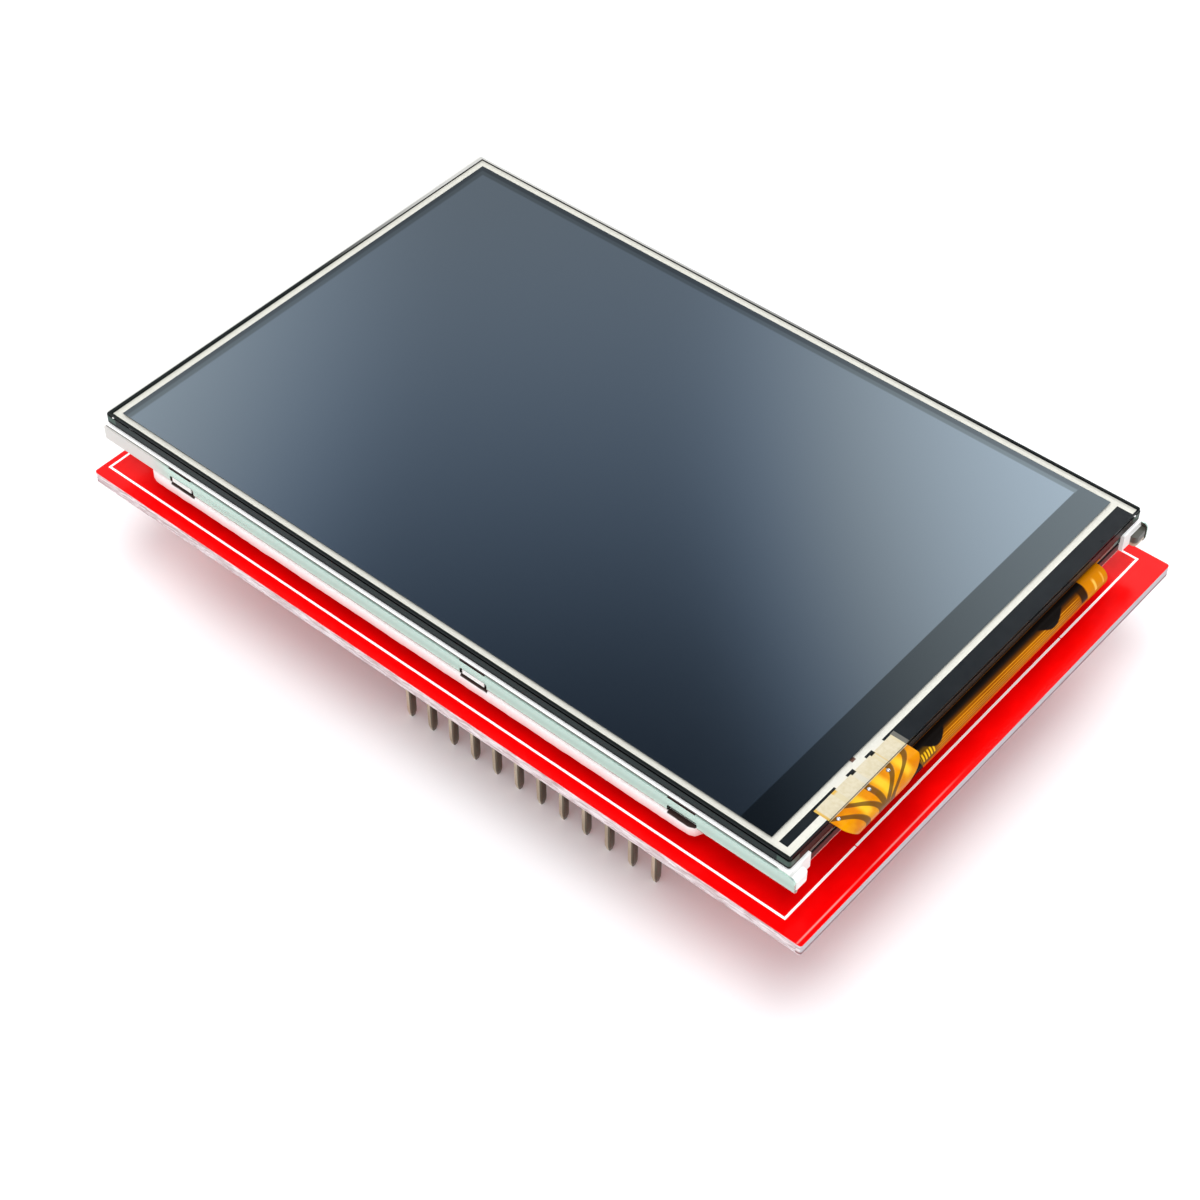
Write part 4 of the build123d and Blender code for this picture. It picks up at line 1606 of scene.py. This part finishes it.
@dataclass
class FoamStrips:
    """The two foam strips between the pin stubs and the steel tray."""

    end_radius: float = 1.1
    corner: float = 0.28
    corner_share: float = 0.6
    least_width: float = 0.35
    step: float = 0.45
    broad: float = 0.03
    broad_scale: float = 0.5
    fine: float = 0.04
    fine_scale: float = 1.6
    fine_height_scale: float = 2.0
    fine_seed: float = 3.0
    inner_share: float = 0.3

    def build(self, finishes: Finishes) -> None:
        """Make both strips, each a little ragged.

        Args:
            finishes: The module's finishes.
        """
        for seed, node in enumerate(("front_foam_strip", "back_foam_strip"), 1):
            rings = self.rings(*box_of(node), float(seed))
            seat(loft(node + "_soft", [rings], finishes["foam_white"]), "foam_white", node)

    def rings(self, low: Vector, high: Vector, seed: float) -> list[list[Point]]:
        """Rings along one strip.

        Args:
            low: The strip's lowest corner.
            high: Its highest corner.
            seed: Seed of its raggedness.

        Returns:
            The rings.
        """
        mid, half = (low + high) / 2, (high - low) / 2
        count = int((high.x - low.x) / self.step)
        rings = []
        for k in range(count + 1):
            x = low.x + (high.x - low.x) * k / count
            inset = min(x - low.x, high.x - x)
            lost = 0.0
            if inset < self.end_radius:
                lost = self.end_radius - math.sqrt(max(0.0, 2 * self.end_radius * inset - inset * inset))
            width = max(self.least_width, half.y - lost)
            ring = []
            for y, z in rounded_box(width, half.z, min(self.corner, width * self.corner_share)):
                droop = self.broad * wobble(x * self.broad_scale, y, z, seed)
                fine_z = z * self.fine_height_scale
                droop += self.fine * wobble(x * self.fine_scale, y, fine_z, seed + self.fine_seed)
                share = 1.0 if y * mid.y > 0 else self.inner_share
                ring.append((x, mid.y + y + droop * share, mid.z + z - max(0.0, -z) * abs(droop)))
            rings.append(ring)
        return rings


@dataclass
class TouchPanel:
    """The touch panel's two clear sheets, and the solder on its tail."""

    lift: float = 0.02
    dots: tuple[Pair, ...] = ((37.86, -19.2), (37.92, -15.3), (37.94, -12.8))
    dot_radius: float = 0.19
    dot_height: float = 0.12
    dot_rings: int = 6
    dot_sides: int = 16

    def build(self, finishes: Finishes) -> None:
        """Make the sheets and the solder.

        Args:
            finishes: The module's finishes.
        """
        for node in ("touch_glass", "touch_film"):
            seat(self.sheet(node, finishes[node]), node, node)
        top = box_of("touch_tail")[1].z
        domes = [self.dome(x, y, top) for x, y in self.dots]
        seat(loft("tail_solder", domes, finishes["solder"]), "solder")

    def sheet(self, node: str, finish: bpy.types.Material) -> bpy.types.Object:
        """One clear sheet, with a hair of air under it.

        Args:
            node: The CAD node that it stands for.
            finish: Its material.

        Returns:
            The piece.
        """
        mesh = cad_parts[node].data.copy()
        low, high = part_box(node)
        for vertex in mesh.vertices:
            if vertex.co.z < (low.z + high.z) / 2:
                vertex.co.z += self.lift * MM
        mesh.materials.clear()
        mesh.materials.append(finish)
        return add_object(node + "_sheet", mesh)

    def dome(self, x: float, y: float, z: float) -> list[list[Point]]:
        """Rings of one drop of solder.

        Args:
            x: Its place.
            y: Its place.
            z: Height of what it sits on.

        Returns:
            The rings.
        """
        spots = [2 * math.pi * n / self.dot_sides for n in range(self.dot_sides)]
        rings = []
        for k in range(self.dot_rings):
            turn = math.pi / 2 * k / self.dot_rings
            radius = self.dot_radius * math.cos(turn)
            level = z + self.dot_height * math.sin(turn)
            rings.append([(x + radius * math.cos(t), y + radius * math.sin(t), level) for t in spots])
        return rings


class Dressing:
    """Materials for the CAD nodes that stay as they are."""

    NODES = {
        "board_red": ("circuit_board",),
        "header_plastic": ("front_header_strip", "back_header_strip_short", "back_header_strip_long"),
        "foam_white": ("foam_pad_left", "foam_pad_right"),
        "tray_steel": ("backlight_tray",),
        "frame_white": ("backlight_frame",),
        "film_white": ("reflector_film", "diffuser_film"),
        "flex_amber": ("led_flex", "main_flex"),
        "led_white": ("backlight_leds",),
        "guide_acrylic": ("light_guide",),
        "film_clear": ("lower_prism_film", "upper_prism_film"),
        "tape_black": ("rim_tape", "touch_tape"),
        "polariser": ("rear_polariser", "front_polariser"),
        "cell_glass": ("array_glass", "filter_glass"),
        "chip_silicon": ("driver_chip",),
        "silver_print": ("touch_tracks",),
        "border_ink": ("touch_spacer",),
        "pad_cream": ("tail_pads",),
        "tail_amber": ("touch_tail",),
        "package_black": ("card_socket_base", "level_shifter_1", "level_shifter_2", "regulator_body"),
        "socket_steel": ("card_socket_shell",),
        "contact_gold": ("card_socket_contacts",),
        "lead_tin": ("level_shifter_leads", "regulator_leads", "resistor_terminals", "capacitor_terminals"),
        "resistor_black": ("chip_resistors",),
        "capacitor_tan": ("chip_capacitors",),
    }

    def build(self, finishes: Finishes) -> None:
        """Give every CAD node that stays its finish.

        Args:
            finishes: The module's finishes.
        """
        for finish, nodes in self.NODES.items():
            for node in nodes:
                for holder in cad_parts[node].material_slots:
                    holder.material = finishes[finish]
                LOG.info("%s: %s", node, finish)


def bearing(azimuth: float, elevation: float) -> Vector:
    """Direction of a place in the room.

    Args:
        azimuth: Degrees round from +X.
        elevation: Degrees up.

    Returns:
        The direction, of length 1.
    """
    a, e = math.radians(azimuth), math.radians(elevation)
    return Vector((math.cos(a) * math.cos(e), math.sin(a) * math.cos(e), math.sin(e)))


@dataclass(frozen=True)
class SoftBox:
    """One soft lamp, aimed at the module."""

    name: str
    azimuth: float
    elevation: float
    distance: float
    size: Pair
    brightness: float
    watts: float = 4.0

    def build(self, target: Vector) -> None:
        """Hang the lamp.

        Args:
            target: What it faces.
        """
        away = bearing(self.azimuth, self.elevation)
        data = bpy.data.lights.new(self.name, "AREA")
        data.shape = "RECTANGLE"
        data.size, data.size_y = self.size
        data.energy = self.brightness * self.size[0] * self.size[1] * self.watts
        lamp = bpy.data.objects.new(self.name, data)
        lamp.location = target + away * self.distance
        lamp.rotation_euler = away.to_track_quat("Z", "Y").to_euler()
        bpy.context.scene.collection.objects.link(lamp)


@dataclass(frozen=True)
class Glow:
    """A soft bright patch of the room, in degrees."""

    azimuth: float
    elevation: float
    radius: float
    brightness: float

    def shine(self, tree: Tree, direction: bpy.types.NodeSocket) -> Val:
        """Brightness that the patch adds.

        Args:
            tree: The world's tree.
            direction: Where the ray goes.

        Returns:
            The brightness.
        """
        centre = bearing(self.azimuth, self.elevation)
        near = tree.add("ShaderNodeVectorMath", {"operation": "DOT_PRODUCT"}, {0: direction, 1: centre})
        cosine = Val(tree, near.outputs["Value"])
        return cosine.rise(math.cos(math.radians(self.radius)), 1.0) * self.brightness


@dataclass
class Studio:
    """Floor, light and camera."""

    eye: Point = (99.70, -119.82, 155.53)
    right: Point = (0.7604, 0.6494, 0.0)
    up: Point = (-0.4739, 0.5549, 0.6836)
    lens: float = 73.64
    sensor: float = 36.0
    clip: Pair = (0.01, 20.0)
    floor_half: float = 4.0
    floor_scale: float = 0.02
    floor_octaves: float = 2.0
    floor_dark: Colour = (0.86, 0.86, 0.86)
    floor_light: Colour = (0.88, 0.88, 0.88)
    floor_seen: Colour = (0.96, 0.96, 0.96)
    floor_roughness: float = 0.8
    floor_lift: float = 0.06
    floor_white: float = 1.06
    fade: Pair = (180.0, 420.0)
    boxes: tuple[SoftBox, ...] = (
        SoftBox("overhead", azimuth=-60.0, elevation=80.0, distance=0.7, size=(0.6, 0.6), brightness=2.9),
        SoftBox("front_fill", azimuth=-70.0, elevation=30.0, distance=0.8, size=(0.5, 0.4), brightness=0.7),
    )
    aim: Point = (0.0, 0.0, 10.0)
    glows: tuple[Glow, ...] = (
        Glow(azimuth=100.0, elevation=38.2, radius=22.2, brightness=3.1),
        Glow(azimuth=162.0, elevation=33.4, radius=22.7, brightness=2.05),
    )
    horizon: float = 1.1
    drops: tuple[tuple[Pair, float], ...] = (((0.3, 0.6), 0.334), ((0.617, 0.79), 0.685))
    sky: Colour = (0.78, 1.0, 1.35)
    sky_height: Pair = (0.55, 0.8)

    def build(self) -> None:
        """Set up the studio."""
        bpy.context.scene.view_settings.view_transform = "Standard"
        self.lay_floor()
        self.light_room()
        for box in self.boxes:
            box.build(Vector(self.aim) * MM)
        self.place_camera()

    def lay_floor(self) -> None:
        """Lay the pale floor, which keeps the module's shadow and turns white far away."""
        mesh = bpy.data.meshes.new("floor")
        h = self.floor_half
        mesh.from_pydata([(-h, -h, 0), (h, -h, 0), (h, h, 0), (-h, h, 0)], [], [(0, 1, 2, 3)])
        surface = Surface("floor_white")
        tone = surface.grain(self.floor_scale, self.floor_octaves)
        path = surface.add("ShaderNodeLightPath")
        rays = ("Is Camera Ray", "Is Glossy Ray", "Is Transmission Ray")
        camera, glossy, through = (Val(surface, path.outputs[ray]) for ray in rays)
        seen = camera.largest(glossy).largest(through)
        near, far = self.fade
        distant = (surface.x * surface.x + surface.y * surface.y).rise(near * near, far * far)
        pale = surface.blend(tone, self.floor_dark, self.floor_light)
        surface.set(
            Base_Color=surface.blend(seen, pale, self.floor_seen),
            Roughness=self.floor_roughness,
            Specular_IOR_Level=0.0,
        )
        white = surface.result("ShaderNodeEmission", Color=WHITE, Strength=self.floor_white)
        lifted = (seen * self.floor_lift).largest(camera * distant)
        surface.show(surface.mix_shaders(lifted, surface.shader.outputs[0], white))
        mesh.materials.append(surface.material)
        add_object("floor", mesh)

    def light_room(self) -> None:
        """Make the room: white to the camera, bright at the horizon and dim overhead for the light."""
        world = bpy.data.worlds.new("room")
        bpy.context.scene.world = world
        world.use_nodes = True
        tree = Tree(world.node_tree)
        direction = tree.add("ShaderNodeTexCoord").outputs["Generated"]
        height = Val(tree, tree.add("ShaderNodeSeparateXYZ", None, {0: direction}).outputs["Z"])
        level = self.horizon
        for span, drop in self.drops:
            level = level - height.rise(*span) * drop
        glow = sum(patch.shine(tree, direction) for patch in self.glows)
        seen = Val(tree, tree.add("ShaderNodeLightPath").outputs["Is Camera Ray"])
        overhead = height.rise(*self.sky_height) * (1.0 - seen) * glow.fall(0.0, 1.0)
        ground = tree.tree.nodes["Background"]
        tree.feed(ground.inputs["Color"], tree.blend(overhead, WHITE, self.sky))
        tree.feed(ground.inputs["Strength"], seen + (1.0 - seen) * (level + glow))

    def place_camera(self) -> None:
        """Stand the camera where the photograph was taken from."""
        data = bpy.data.cameras.new("camera")
        data.lens = self.lens
        data.sensor_width = self.sensor
        data.clip_start, data.clip_end = self.clip
        camera = bpy.data.objects.new("camera", data)
        right, up = Vector(self.right).normalized(), Vector(self.up).normalized()
        turn = Matrix((right, up, right.cross(up))).transposed().to_4x4()
        eye = Vector(self.eye) + Vector((0.0, 0.0, BOARD_TOP))
        camera.matrix_world = Matrix.Translation(eye * MM) @ turn
        bpy.context.scene.collection.objects.link(camera)
        bpy.context.scene.camera = camera


def main() -> None:
    """Build and dress every sub-assembly, then the studio."""
    logging.basicConfig(level=logging.INFO, format="%(name)s %(message)s")
    finishes = Finishes()
    Dressing().build(finishes)
    for assembly in (Headers(), Board(), FoamStrips(), TouchPanel()):
        assembly.build(finishes)
    Studio().build()


if __name__ == "__main__":
    main()
